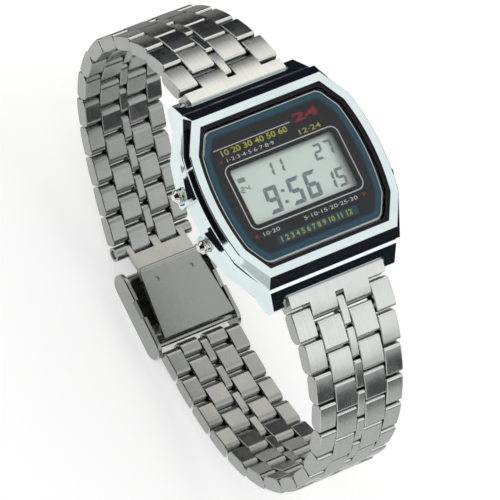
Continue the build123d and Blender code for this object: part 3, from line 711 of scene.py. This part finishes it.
@dataclass(frozen=True)
class BoardLaminate(Finish):
    """Green laminate with copper tracks under the resist."""

    tint: Colour = ink(26, 92, 58)
    track: Colour = ink(52, 132, 78)
    threads: float = 18.0

    def sockets(self, graph: Graph) -> dict[str, object]:
        """Return tracks that run both ways, over a woven ground.

        Args:
            graph: The material's graph.

        Returns:
            Values and links by socket name.
        """
        weave = (graph.along("X") * self.threads).wave() * (graph.along("Y") * self.threads).wave()
        lanes = graph.grain((1.4, 0.12, 0.4), 0.0).step(0.55, 0.58)
        rows = graph.grain((0.12, 1.4, 0.4), 0.0).step(0.55, 0.58)
        copper = lanes.either(rows)
        return {
            "Base Color": graph.shade(copper * 0.8 + weave * 0.06, self.tint, self.track),
            "Roughness": 0.38 + weave * 0.04,
            "Normal": graph.relief(copper + weave * 0.1, 0.03),
        }


@dataclass(frozen=True)
class StripedElastic(Finish):
    """Elastic connector of thin conducting and insulating layers."""

    pale: Colour = ink(196, 176, 158)
    dark: Colour = ink(34, 32, 32)
    layers: float = 30.0

    def sockets(self, graph: Graph) -> dict[str, object]:
        """Return stripes across X.

        Args:
            graph: The material's graph.

        Returns:
            Values and links by socket name.
        """
        stripe = (graph.along("X") * self.layers).wave().step(-0.3, 0.3)
        soft = graph.grain(4.0)
        return {
            "Base Color": graph.shade(stripe, self.pale, self.dark),
            "Roughness": 0.55 + soft * 0.15,
            "Normal": graph.relief(stripe, 0.01),
        }


@dataclass(frozen=True)
class SpunMetal(Finish):
    """Sheet metal with turning rings about an upright axis."""

    tint: Colour = ink(205, 206, 204)
    gloss: float = 0.26
    turns: float = 34.0

    def sockets(self, graph: Graph) -> dict[str, object]:
        """Return rings round the middle, with a few stains.

        Args:
            graph: The material's graph.

        Returns:
            Values and links by socket name.
        """
        out_x, out_y = graph.along("X"), graph.along("Y")
        reach = (out_x * out_x + out_y * out_y) ** 0.5
        rings = (reach * self.turns + graph.grain(0.6) * 9.0).wave()
        stain = graph.grain(0.5, 3.0)
        return {
            "Base Color": graph.shade(stain.step(0.45, 0.8), self.tint, scaled(self.tint, 0.75)),
            "Metallic": 1.0,
            "Roughness": self.gloss + rings * 0.04 + stain * 0.08,
            "Normal": graph.relief(rings, 0.003, 0.5),
        }


@dataclass(frozen=True)
class LampResin(Finish):
    """Milky resin of a small lamp."""

    tint: Colour = ink(222, 232, 176)
    milk: Colour = ink(240, 243, 222)

    def sockets(self, graph: Graph) -> dict[str, object]:
        """Return cloudy resin that lets some light through.

        Args:
            graph: The material's graph.

        Returns:
            Values and links by socket name.
        """
        cloud = graph.grain(2.0, 3.0)
        return {
            "Base Color": graph.shade(cloud.step(0.3, 0.7), self.tint, self.milk),
            "Roughness": 0.25 + cloud * 0.15,
            "Transmission Weight": 0.4,
        }


@dataclass(frozen=True)
class Felt(Finish):
    """Dull card or floor of the studio with a faint nap."""

    tint: Colour
    nap: Colour
    per_mm: float = 0.3

    def sockets(self, graph: Graph) -> dict[str, object]:
        """Return a dull, nearly even colour: values and links by socket name."""
        colour = graph.shade(graph.grain(self.per_mm), self.tint, self.nap)
        return {"Base Color": colour, "Roughness": 0.9, "Specular IOR Level": 0.0}


@dataclass(frozen=True)
class LitFelt(Felt):
    """The same with white light of its own in what shows it, so that the shadow on it stays."""

    glow: Colour = (0.4, 0.4, 0.4)

    def sockets(self, graph: Graph) -> dict[str, object]:
        """Return the dull colour and its light.

        Args:
            graph: The material's graph.

        Returns:
            Values and links by socket name.
        """
        found = super().sockets(graph)
        found["Emission Color"] = graph.shade(graph.seen(), (0.0, 0.0, 0.0), self.glow)
        found["Emission Strength"] = 1.0
        return found


class Look(Enum):
    """The named finishes of the watch."""

    PLATE = BrightPlate("bright_plate")
    GROOVED = GroovedPlate("grooved_plate")
    SATIN = SatinSteel("satin_steel")
    TURNED = TurnedSteel("turned_steel")
    WINDOW = ClearWindow("clear_window")
    SEAL = Moulded("seal_rubber", ink(26, 26, 29), 0.42, shine=0.12)
    PANEL = PrintedInk("panel_charcoal", ink(19, 24, 31), 0.34, 0.06)
    BORDER = PrintedInk("display_border", ink(16, 18, 22), 0.3, 0.1)
    BAND = FadingBand("blue_band")
    BLUE = PrintedInk("blue_ink", ink(18, 72, 90), 0.38, 0.12)
    WHITE = PrintedInk("white_ink", ink(214, 216, 218), 0.42)
    YELLOW = PrintedInk("yellow_ink", ink(184, 184, 66), 0.42)
    RED = PrintedInk("red_ink", ink(146, 34, 38), 0.42)
    CELL = DisplayCell("display_cell")
    SEGMENT = DarkSegment("dark_segment")
    # Painted shadow of the lit segments on the reflector.
    SEGMENT_SHADOW = DarkSegment("segment_shadow", ink(120, 134, 136), 0.35)
    RESIN = Moulded("black_resin", ink(30, 31, 33), 0.55, 6.0)
    LAMINATE = BoardLaminate("board_laminate")
    ELASTIC = StripedElastic("striped_elastic")
    CELL_CAN = SpunMetal("cell_can")
    BRASS = SpunMetal("sounder_brass", ink(212, 178, 104), 0.3)
    LAMP = LampResin("lamp_resin")


class Watch:
    """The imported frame: its nodes, and where its dial lies."""

    def __init__(self) -> None:
        """Clear what Blender starts with and load the frame."""
        for left in list(bpy.data.objects):
            bpy.data.objects.remove(left)
        self.nodes: dict[str, bpy.types.Object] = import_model()["nodes"]
        bpy.context.view_layer.update()
        self.cad_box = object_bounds()
        low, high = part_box("bezel")
        self.dial_y = (low.y + high.y) / 2 / MM

    def top_of(self, node: str) -> float:
        """Return the height of a node's top, in millimetres."""
        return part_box(node)[1].z / MM

    def dress(self, look: Look, names: list[str]) -> None:
        """Give nodes a finish.

        Args:
            look: The finish.
            names: The nodes that take it.
        """
        for name in names:
            mesh = self.nodes[name].data
            mesh.materials.clear()
            mesh.materials.append(look.value.material())
            LOG.info("%s: %s", name, look.value.name)

    def named(self, *parts: str) -> list[str]:
        """Return the nodes whose names hold any of these parts."""
        return sorted(name for name in self.nodes if any(part in name for part in parts))


@dataclass
class Outline:
    """An eight-sided outline with gently arched flanks, in millimetres round the dial's middle."""

    half_x: float = 16.45
    half_y: float = 14.0
    corner_x: float = 12.25
    shoulder_x: float = 15.4
    shoulder_y: float = 8.9
    flank_steps: int = 14

    def flank(self) -> Point:
        """Work out the arc of the right flank.

        Returns:
            Its radius and where its centre is along X.
        """
        sag = self.half_x - self.shoulder_x
        radius = (self.shoulder_y**2 + sag**2) / (2 * sag)
        return radius, self.half_x - radius

    def corner_lean(self) -> Point:
        """Return the outward direction of the sloping side between the flank and 12 o'clock."""
        run_x, run_y = self.shoulder_x - self.corner_x, self.half_y - self.shoulder_y
        return run_y / math.hypot(run_x, run_y), run_x / math.hypot(run_x, run_y)

    def corners(self) -> Loop:
        """Work out a flank and the two corners beyond it, then the same turned round.

        Returns:
            The points, counter-clockwise.
        """
        radius, centre = self.flank()
        spread = math.asin(self.shoulder_y / radius)
        steps = self.flank_steps
        turns = [spread * (2 * index / steps - 1) for index in range(steps + 1)]
        half = [(centre + radius * math.cos(turn), radius * math.sin(turn)) for turn in turns]
        half += [(self.corner_x, self.half_y), (-self.corner_x, self.half_y)]
        return half + [(-x, -y) for x, y in half]

    def inset(self, amount: float, corner_round: float, shoulder_round: float) -> Loop:
        """Return the outline moved in evenly, with its corners rounded.

        Args:
            amount: How far in.
            corner_round: Radius at the four ends.
            shoulder_round: Radius where the flanks start.

        Returns:
            The closed loop.
        """
        half = [0.0] * (self.flank_steps + 3)
        half[0] = half[self.flank_steps] = shoulder_round
        half[-1] = half[-2] = corner_round
        return rounded(moved_in(self.corners(), amount), half * 2)


def in_threes(points: Loop) -> list[tuple[Vector, Vector, Vector]]:
    """Return each point of a closed loop between the ones before and after it."""
    spots = [Vector(point) for point in points]
    return list(zip(spots[-1:] + spots[:-1], spots, spots[1:] + spots[:1]))


def moved_in(points: Loop, amount: float) -> Loop:
    """Move every side of a counter-clockwise convex loop inwards.

    Args:
        points: The loop.
        amount: How far, in millimetres.

    Returns:
        A loop with as many points.
    """
    found: Loop = []
    for before, here, after in in_threes(points):
        first, second = (here - before).normalized(), (after - here).normalized()
        bisector = (first + second) / (1 + first.dot(second))
        found.append(tuple(here + Vector((-bisector.y, bisector.x)) * amount))
    return found


def rounded(points: Loop, radii: list[float]) -> Loop:
    """Round the corners of a closed loop.

    Args:
        points: The loop.
        radii: One radius for each point, 0 to leave it sharp.

    Returns:
        The loop with its corners replaced by arcs.
    """
    found: Loop = []
    for (before, here, after), radius in zip(in_threes(points), radii):
        if radius <= 0:
            found.append(tuple(here))
            continue
        inwards, onwards = (before - here).normalized(), (after - here).normalized()
        half = inwards.angle(onwards) / 2
        reach = radius / math.tan(half)
        middle = here + (inwards + onwards).normalized() * (radius / math.sin(half))
        start = here + inwards * reach - middle
        turn = start.angle_signed(here + onwards * reach - middle)
        for index in range(CORNER_STEPS + 1):
            spoke = start.copy()
            spoke.rotate(Matrix.Rotation(-turn * index / CORNER_STEPS, 2))
            found.append(tuple(middle + spoke))
    return found


def block(x: float, y: float, width: float, height: float, slant: float = 0.0) -> Loop:
    """Return a bar that leans, counter-clockwise from its lower left corner."""
    corners = [(0.0, 0.0), (width, 0.0), (width, height), (0.0, height)]
    return [(x + out + slant * up, y + up) for out, up in corners]


@dataclass(frozen=True)
class Box:
    """A rounded rectangle round a middle on the dial's centre line, in millimetres."""

    half_x: float
    half_y: float
    middle_y: float
    radius: float

    def loop(self, grow: float = 0.0) -> Loop:
        """Return the outline.

        Args:
            grow: How far every side is moved out.

        Returns:
            The closed loop, counter-clockwise.
        """
        out_x, out_y = self.half_x + grow, self.half_y + grow
        low, high = self.middle_y - out_y, self.middle_y + out_y
        points = [(out_x, low), (out_x, high), (-out_x, high), (-out_x, low)]
        return rounded(points, [self.radius + grow] * 4)


@dataclass(frozen=True)
class Row:
    """A row of printed numbers, in millimetres, and how bold it is in shares of its height."""

    look: Look
    text: str
    left: float
    right: float
    middle: float
    height: float
    bold: float = 0.0


@dataclass
class Inlay:
    """A thin flat piece laid on the head, in millimetres, with the name of its slot."""

    name: str
    look: Look
    slot: str
    base: float
    thickness: float

    def __post_init__(self) -> None:
        """Start with an empty mesh, whose vertices carry a share across a band."""
        self.mesh = bmesh.new()
        self.across = self.mesh.verts.layers.float.new("across")

    def vertices(
        self, places: Loop, height: float, across: float = 0.0
    ) -> list[bmesh.types.BMVert]:
        """Add vertices at one height.

        Args:
            places: Where they are in plan, in millimetres.
            height: Their height, in millimetres.
            across: The share across a band that they carry.

        Returns:
            The vertices.
        """
        made = [self.mesh.verts.new((x * MM, y * MM, height * MM)) for x, y in places]
        for vertex in made:
            vertex[self.across] = across
        return made

    def ring(self, loops: list[Loop]) -> None:
        """Add a flat ring through loops with the same number of points.

        Args:
            loops: The loops from the outside to the inside.
        """
        top, last = self.base + self.thickness, len(loops) - 1
        rows = [self.vertices(loop, top, index / last) for index, loop in enumerate(loops)]
        outside, inside = (self.vertices(loops[index], self.base) for index in (0, last))
        for outer, inner in zip([outside, *rows], [*rows, inside]):
            self._join(outer, inner)

    def _join(self, outer: list[bmesh.types.BMVert], inner: list[bmesh.types.BMVert]) -> None:
        """Fill between two rows of vertices."""
        for corners in zip(outer, outer[1:] + outer[:1], inner[1:] + inner[:1], inner):
            self.mesh.faces.new(corners)

    def patch(self, loop: Loop) -> None:
        """Add a flat patch with its edge.

        Args:
            loop: The patch's outline, counter-clockwise.
        """
        top = self.vertices(loop, self.base + self.thickness)
        foot = self.vertices(loop, self.base)
        self.mesh.faces.new(top)
        self._join(foot, top)

    def words(self, row: Row) -> None:
        """Add a row of printed numbers, stretched to its place.

        Args:
            row: The row.
        """
        curve = bpy.data.curves.new(self.name + "_row", "FONT")
        curve.body = row.text
        curve.resolution_u = 3
        curve.offset = row.bold
        holder = placed(self.name + "_row", curve)
        shape = holder.evaluated_get(bpy.context.evaluated_depsgraph_get())
        flat = bpy.data.meshes.new_from_object(shape)
        spots = [vert.co for vert in flat.vertices]
        low_x, high_x = min(spot.x for spot in spots), max(spot.x for spot in spots)
        low_y, high_y = min(spot.y for spot in spots), max(spot.y for spot in spots)
        places = []
        for spot in spots:
            x = row.left + (row.right - row.left) * (spot.x - low_x) / (high_x - low_x)
            y = row.middle + row.height * ((spot.y - low_y) / (high_y - low_y) - 0.5)
            places.append((x, y))
        made = self.vertices(places, self.base + self.thickness)
        for face in flat.polygons:
            self.mesh.faces.new([made[index] for index in face.vertices])
        bpy.data.objects.remove(holder)
        bpy.data.curves.remove(curve)
        bpy.data.meshes.remove(flat)

    def finish(self, offset: Vector) -> None:
        """Make the piece, move it to the dial and let it ride on the head.

        Args:
            offset: The dial's middle in the row frame, in metres, at the height 0 of the loops.
        """
        bmesh.ops.translate(self.mesh, verts=self.mesh.verts, vec=offset)
        bmesh.ops.recalc_face_normals(self.mesh, faces=self.mesh.faces)
        data = bpy.data.meshes.new(self.name)
        self.mesh.to_mesh(data)
        self.mesh.free()
        data.materials.append(self.look.value.material())
        made = placed(self.name, data)
        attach(made, "head")
        LOG.info("%s: %d faces, %s", self.name, len(data.polygons), self.look.value.name)


@dataclass
class Dial:
    """Panel round the display: hairlines, the blue band, and rows of plain numbers and marks."""

    thickness: float = 0.012
    edge_inset: float = 2.54
    hairline: float = 0.17
    band_gap: float = 0.06
    band_width: float = 1.3
    band_shares: tuple[float, ...] = (0.0, 0.14, 0.38, 0.62, 1.0)
    corner_round: float = 1.6
    shoulder_round: float = 1.5
    least_round: float = 0.3
    tightening: float = 0.35
    frame: Box = Box(10.8, 5.6, -0.375, 1.35)
    border: Box = Box(10.75, 5.55, -0.375, 1.35)
    window: Box = Box(9.95, 4.825, -0.375, 0.6)
    plate: Box = Box(7.75, 0.72, -8.75, 0.16)
    rule: tuple[float, float, float, float] = (-11.0, 8.13, 14.7, 0.14)
    arrows: tuple[tuple[float, float, int], ...] = (
        (-10.6, 6.12, -1),
        (-10.7, -6.95, -1),
        (9.9, -6.95, 1),
    )
    arrowhead: tuple[Point, ...] = ((0.5, 0.0), (-0.35, 0.4), (-0.15, 0.0), (-0.35, -0.4))
    rows: tuple[Row, ...] = (
        Row(Look.YELLOW, "10 20 30 40 50 60", -9.9, 2.7, 7.4, 1.0, 0.02),
        Row(Look.YELLOW, "12·24", 4.4, 8.5, 6.1, 0.85, 0.01),
        Row(Look.YELLOW, "1 2 3 4 5 6 7 8 9 10 11 12", -7.0, 6.6, -8.75, 0.95, 0.02),
        Row(Look.WHITE, "1·2·3·4·5·6·7·8·9", -9.5, -0.5, 6.12, 0.62),
        Row(Look.WHITE, "10·20", -9.5, -6.4, -6.98, 0.62),
        Row(Look.WHITE, "5·10·15·20·25·30", -1.7, 8.6, -6.98, 0.62),
        Row(Look.RED, "24", 4.4, 9.2, 8.5, 1.45, 0.03),
    )

    def build(self, watch: Watch) -> list[Inlay]:
        """Lay every printed piece on the panel.

        Args:
            watch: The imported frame.

        Returns:
            The pieces, not yet finished.
        """
        base = watch.top_of("dial_plate")

        def inlay(name: str, look: Look, share: float = 1.0) -> Inlay:
            """Return an empty piece on the panel, at a share of the print's thickness."""
            return Inlay(name, look, "dial_print", base, self.thickness * share)

        names = {Look.WHITE: "print_white", Look.YELLOW: "print_yellow", Look.RED: "print_red"}
        inks = {look: inlay(name, look) for look, name in names.items()}
        white, red = inks[Look.WHITE], inks[Look.RED]
        white.ring([self._rim(self.edge_inset + share) for share in (0.0, self.hairline)])
        white.ring([self.frame.loop(grow) for grow in (self.hairline / 2, -self.hairline / 2)])
        white.patch(block(*self.rule))
        for row in self.rows:
            inks[row.look].words(row)
        for x, y, lean in self.arrows:
            red.patch([(x + lean * out, y + lean * up) for out, up in self.arrowhead])
        start = self.edge_inset + self.hairline + self.band_gap
        band = inlay("print_band", Look.BAND, 0.5)
        band.ring([self._rim(start + self.band_width * share) for share in self.band_shares])
        plate = inlay("print_blue", Look.BLUE, 0.5)
        plate.patch(self.plate.loop())
        border = inlay("display_border", Look.BORDER, 0.5)
        border.ring([self.border.loop(), self.window.loop()])
        return [*inks.values(), band, plate, border]

    def _rim(self, inset: float) -> Loop:
        """Work out the panel's outline at an inset, with corners that tighten with it.

        Args:
            inset: How far inside the bezel's outline it runs.

        Returns:
            The closed loop.
        """
        tighter = (inset - self.edge_inset) * self.tightening
        corner = max(self.least_round, self.corner_round - tighter)
        return Outline().inset(inset, corner, max(self.least_round, self.shoulder_round - tighter))


@dataclass(frozen=True)
class Figures:
    """Slanted seven-segment digits side by side, in millimetres."""

    text: str
    height: float
    width: float
    bar: float
    left: float
    foot: float
    pitch: float = 0.0
    gap: float = 0.07

    LIT = ("abcdef", "bc", "abged", "abgcd", "fgbc", "afgcd", "afgedc", "abc", "abcdefg", "abcdfg")

    def segments(self) -> dict[str, Loop]:
        """Work out the seven segments of an upright digit.

        Returns:
            The segments' outlines by their usual letters, counter-clockwise.
        """
        width, height, bar, gap = self.width, self.height, self.bar, self.gap
        mid, tip = height / 2, bar / 2
        foot = [(gap, 0.0), (width - gap, 0.0), (width - bar, bar), (bar, bar)]
        side = [(0.0, gap), (bar, bar + gap), (bar, mid - tip - gap)]
        side += [(tip, mid - gap), (0.0, mid - gap / 2)]
        half = [(tip + gap, mid), (bar, mid - tip), (width - bar, mid - tip)]
        return {
            "a": [(x, height - y) for x, y in reversed(foot)],
            "b": [(width - x, height - y) for x, y in side],
            "c": [(width - x, y) for x, y in reversed(side)],
            "d": foot,
            "e": side,
            "f": [(x, height - y) for x, y in reversed(side)],
            "g": half + [(width - x, height - y) for x, y in half],
        }

    def loops(self) -> list[Loop]:
        """Work out the lit segments of every digit.

        Returns:
            One outline for each segment.
        """
        found: list[Loop] = []
        segments = self.segments()
        for index, digit in enumerate(self.text):
            left = self.left + index * self.pitch
            for name in self.LIT[int(digit)]:
                found.append([(left + x + SLANT * y, self.foot + y) for x, y in segments[name]])
        return found


@dataclass
class Display:
    """What the display shows: the time, the seconds, two small numbers and a few small marks."""

    thickness: float = 0.01
    lift: float = 0.02
    shadow_offset: Point = (0.16, -0.1)
    figures: tuple[Figures, ...] = (
        Figures("9", 4.4, 2.35, 0.62, -6.2, -4.42),
        Figures("56", 4.4, 2.35, 0.62, -1.8, -4.42, 3.15),
        Figures("15", 3.1, 1.65, 0.4, 5.0, -4.38, 2.05),
        Figures("11", 2.4, 1.3, 0.34, -3.75, 1.2, 1.95),
        Figures("27", 2.6, 1.5, 0.34, 5.4, 0.95, 2.0),
        Figures("24", 0.95, 0.72, 0.17, -9.3, 0.5, 0.98),
    )
    marks: tuple[tuple[float, float, float, float], ...] = (
        (-2.85, -1.65, 0.55, 0.45),
        (-3.0, -3.55, 0.55, 0.45),
        (-9.05, 2.2, 1.35, 0.16),
        (-9.05, 2.45, 1.35, 0.16),
        (-9.05, 2.7, 1.35, 0.16),
    )

    def build(self, watch: Watch) -> list[Inlay]:
        """Lay the lit segments and their soft shadows on the cell.

        Args:
            watch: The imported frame.

        Returns:
            The two pieces, not yet finished.
        """
        base = watch.top_of("lcd_panel")
        lit = Inlay("display_segments", Look.SEGMENT, "lcd_glass", base + self.lift, self.thickness)
        # Painted shadows of the segments: a faint dark sheet, offset, on the cell.
        soft = Inlay("display_shadows", Look.SEGMENT_SHADOW, "lcd_glass", base, self.thickness / 2)
        out, up = self.shadow_offset
        loops = [loop for figures in self.figures for loop in figures.loops()]
        for loop in loops + [block(*mark, SLANT) for mark in self.marks]:
            lit.patch(loop)
            soft.patch([(x + out, y + up) for x, y in loop])
        return [lit, soft]


@dataclass
class Head:
    """Case, bezel and window, with the dial and display behind the window."""

    dial: Dial = field(default_factory=Dial)
    display: Display = field(default_factory=Display)

    def build(self, watch: Watch) -> None:
        """Lay the dial's print and the display's segments.

        Args:
            watch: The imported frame.
        """
        offset = Vector((0.0, watch.dial_y * MM, 0.0))
        for piece in [*self.dial.build(watch), *self.display.build(watch)]:
            piece.finish(offset)

    def dress(self, watch: Watch) -> None:
        """Give the head's solids their finishes.

        Args:
            watch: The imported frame.
        """
        watch.dress(Look.GROOVED, ["bezel"])
        watch.dress(Look.PLATE, ["case_body"])
        watch.dress(Look.WINDOW, ["crystal"])
        watch.dress(Look.SEAL, ["crystal_gasket", "back_gasket", "button_seals"])
        watch.dress(Look.PANEL, ["dial_plate"])
        watch.dress(Look.CELL, ["lcd_panel"])
        watch.dress(Look.SATIN, ["case_back"])
        watch.dress(Look.TURNED, ["back_screws", *watch.named("_button")])


@dataclass
class Module:
    """What the case holds: frame, board, cell, sounder and springs."""

    def dress(self, watch: Watch) -> None:
        """Give the module's solids their finishes.

        Args:
            watch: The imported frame.
        """
        watch.dress(Look.RESIN, ["module_frame"])
        watch.dress(Look.LAMINATE, ["circuit_board"])
        watch.dress(Look.ELASTIC, ["lcd_connectors"])
        watch.dress(Look.CELL_CAN, ["battery"])
        watch.dress(Look.BRASS, ["piezo_buzzer"])
        watch.dress(Look.LAMP, ["backlight_lamp"])
        watch.dress(Look.TURNED, ["battery_clip", "quartz_can", *watch.named("_spring")])


@dataclass
class Bracelet:
    """Both runs of links, their end pieces and the folding clasp."""

    def dress(self, watch: Watch) -> None:
        """Give the bracelet's solids their finish."""
        watch.dress(Look.SATIN, watch.named("_link", "clasp_"))


@dataclass(frozen=True)
class Lamp:
    """A soft lamp that faces the watch, in metres, with a face of a level from 0 to 1 for white."""

    name: str
    place: Corner
    wide: float
    tall: float
    level: float
    tint: Colour
    aim: Corner = (0.0, 0.0, 0.035)

    def build(self) -> None:
        """Hang the lamp, unseen by the camera."""
        data = bpy.data.lights.new(self.name, "AREA")
        data.shape = "RECTANGLE"
        data.size, data.size_y = self.wide, self.tall
        data.energy = self.level * math.pi * self.wide * self.tall
        data.color = self.tint
        lamp = placed(self.name, data)
        lamp.location = self.place
        back = Vector(self.place) - Vector(self.aim)
        lamp.rotation_euler = back.to_track_quat("Z", "Y").to_euler()
        lamp.visible_camera = False


@dataclass(frozen=True)
class Card:
    """A card that shows only in metal, in metres.

    It stands on the line from its start to its end, or it lies between them where it has no top.
    """

    name: str
    tint: Colour
    start: Point
    end: Point
    foot: float = 0.0
    top: float = 0.0

    def corners(self) -> list[Corner]:
        """Work out the card's corners.

        Returns:
            The four corners in order.
        """
        start, end = self.start, self.end
        if self.top > 0:
            return [(*start, self.foot), (*end, self.foot), (*end, self.top), (*start, self.top)]
        return [(*start, 0.0), (end[0], start[1], 0.0), (*end, 0.0), (start[0], end[1], 0.0)]

    def build(self) -> None:
        """Set the card up."""
        data = bpy.data.meshes.new(self.name)
        data.from_pydata(self.corners(), [], [(0, 1, 2, 3)])
        data.materials.append(Felt(self.name, self.tint, scaled(self.tint, 1.1)).material())
        card = placed(self.name, data)
        for ray in ("camera", "diffuse", "transmission", "volume_scatter", "shadow"):
            setattr(card, "visible_" + ray, False)
        card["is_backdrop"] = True


@dataclass
class Studio:
    """Floor, surround, soft lamps, cards for the bright metal, and the camera, in metres."""

    lighting: Colour = (0.8, 0.8, 0.8)
    white: Colour = (1.0, 1.0, 1.0)
    floor_radius: float = 4.0
    floor_sides: int = 96
    floor_height: float = -0.0001
    floor: Felt = LitFelt("pale_floor", (0.79, 0.79, 0.79), (0.81, 0.81, 0.81), 0.02)
    lens: float = 433.52
    stand: Corner = (-0.4538, -0.1422, 0.8777)
    right: Corner = (0.81930628, -0.44063932, 0.36684356)
    ahead: Corner = (0.46816905, 0.14478387, -0.87169684)
    lamps: tuple[Lamp, ...] = (
        Lamp("rear_lamp", (0.40, 0.52, 0.56), 0.5, 0.35, 0.6, (1.0, 0.9, 0.74)),
        Lamp("front_lamp", (0.40, -0.42, 0.62), 0.5, 0.4, 0.3, (0.98, 1.0, 0.98)),
    )
    cards: tuple[Card, ...] = (
        Card("rear_card", BLACK, (-0.15, 0.28), (0.45, 0.28), 0.0, 0.15),
        Card("rear_cloth", BLACK, (-0.12, 0.125), (0.4, 0.28)),
        Card("near_cloth", DARK, (-0.12, 0.05), (0.4, 0.125)),
        Card("right_cloth", BLACK, (0.045, -0.03), (0.3, 0.05)),
        Card("front_card", BLACK, (-0.1, -0.3), (0.4, -0.3), 0.045, 0.185),
        Card("front_foot", PALE, (-0.1, -0.3), (0.4, -0.3), 0.0, 0.045),
        Card("front_cloth", GREY, (-0.06, -0.3), (0.3, -0.045)),
        Card("left_card", BLACK, (-0.25, -0.11), (-0.25, 0.2), 0.0, 0.3),
        Card("corner_card", GREY, (-0.25, -0.32), (-0.25, -0.11), 0.0, 0.3),
    )

    def build(self) -> None:
        """Make the camera, the surround, the floor, the lamps and the cards."""
        self._camera()
        self._surround()
        self._floor()
        for piece in [*self.lamps, *self.cards]:
            piece.build()
        bpy.context.scene.view_settings.view_transform = "Standard"

    def _camera(self) -> None:
        """Stand the camera at the photograph's angle and distance."""
        data = bpy.data.cameras.new("camera")
        data.lens = self.lens
        data.clip_start, data.clip_end = 0.01, 50.0
        back, right = -Vector(self.ahead), Vector(self.right)
        turn = Matrix((right, back.cross(right), back)).transposed()
        camera = placed("camera", data)
        camera.matrix_world = Matrix.Translation(self.stand) @ turn.to_4x4()
        bpy.context.scene.camera = camera

    def _surround(self) -> None:
        """Make a plain surround, white where it is seen and a shade lower where it only lights."""
        world = bpy.data.worlds.new("surround")
        bpy.context.scene.world = world
        graph = Graph(world)
        colour = graph.shade(graph.seen(), self.lighting, self.white)
        graph.close(graph.node("ShaderNodeBackground", None, {"Color": colour}))

    def _floor(self) -> None:
        """Lay the floor just under the watch."""
        mesh = bmesh.new()
        sides, radius = self.floor_sides, self.floor_radius
        bmesh.ops.create_circle(mesh, cap_ends=True, segments=sides, radius=radius)
        data = bpy.data.meshes.new("floor")
        mesh.to_mesh(data)
        mesh.free()
        data.materials.append(self.floor.material())
        floor = placed("floor", data)
        floor.location.z = self.floor_height
        floor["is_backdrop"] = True


def main() -> None:
    """Dress the watch and set the studio round it."""
    logging.basicConfig(level=logging.INFO, format="%(name)s %(message)s")
    watch = Watch()
    head = Head()
    head.build(watch)
    head.dress(watch)
    Module().dress(watch)
    Bracelet().dress(watch)
    Studio().build()
    bpy.context.view_layer.update()


if __name__ == "__main__":
    main()
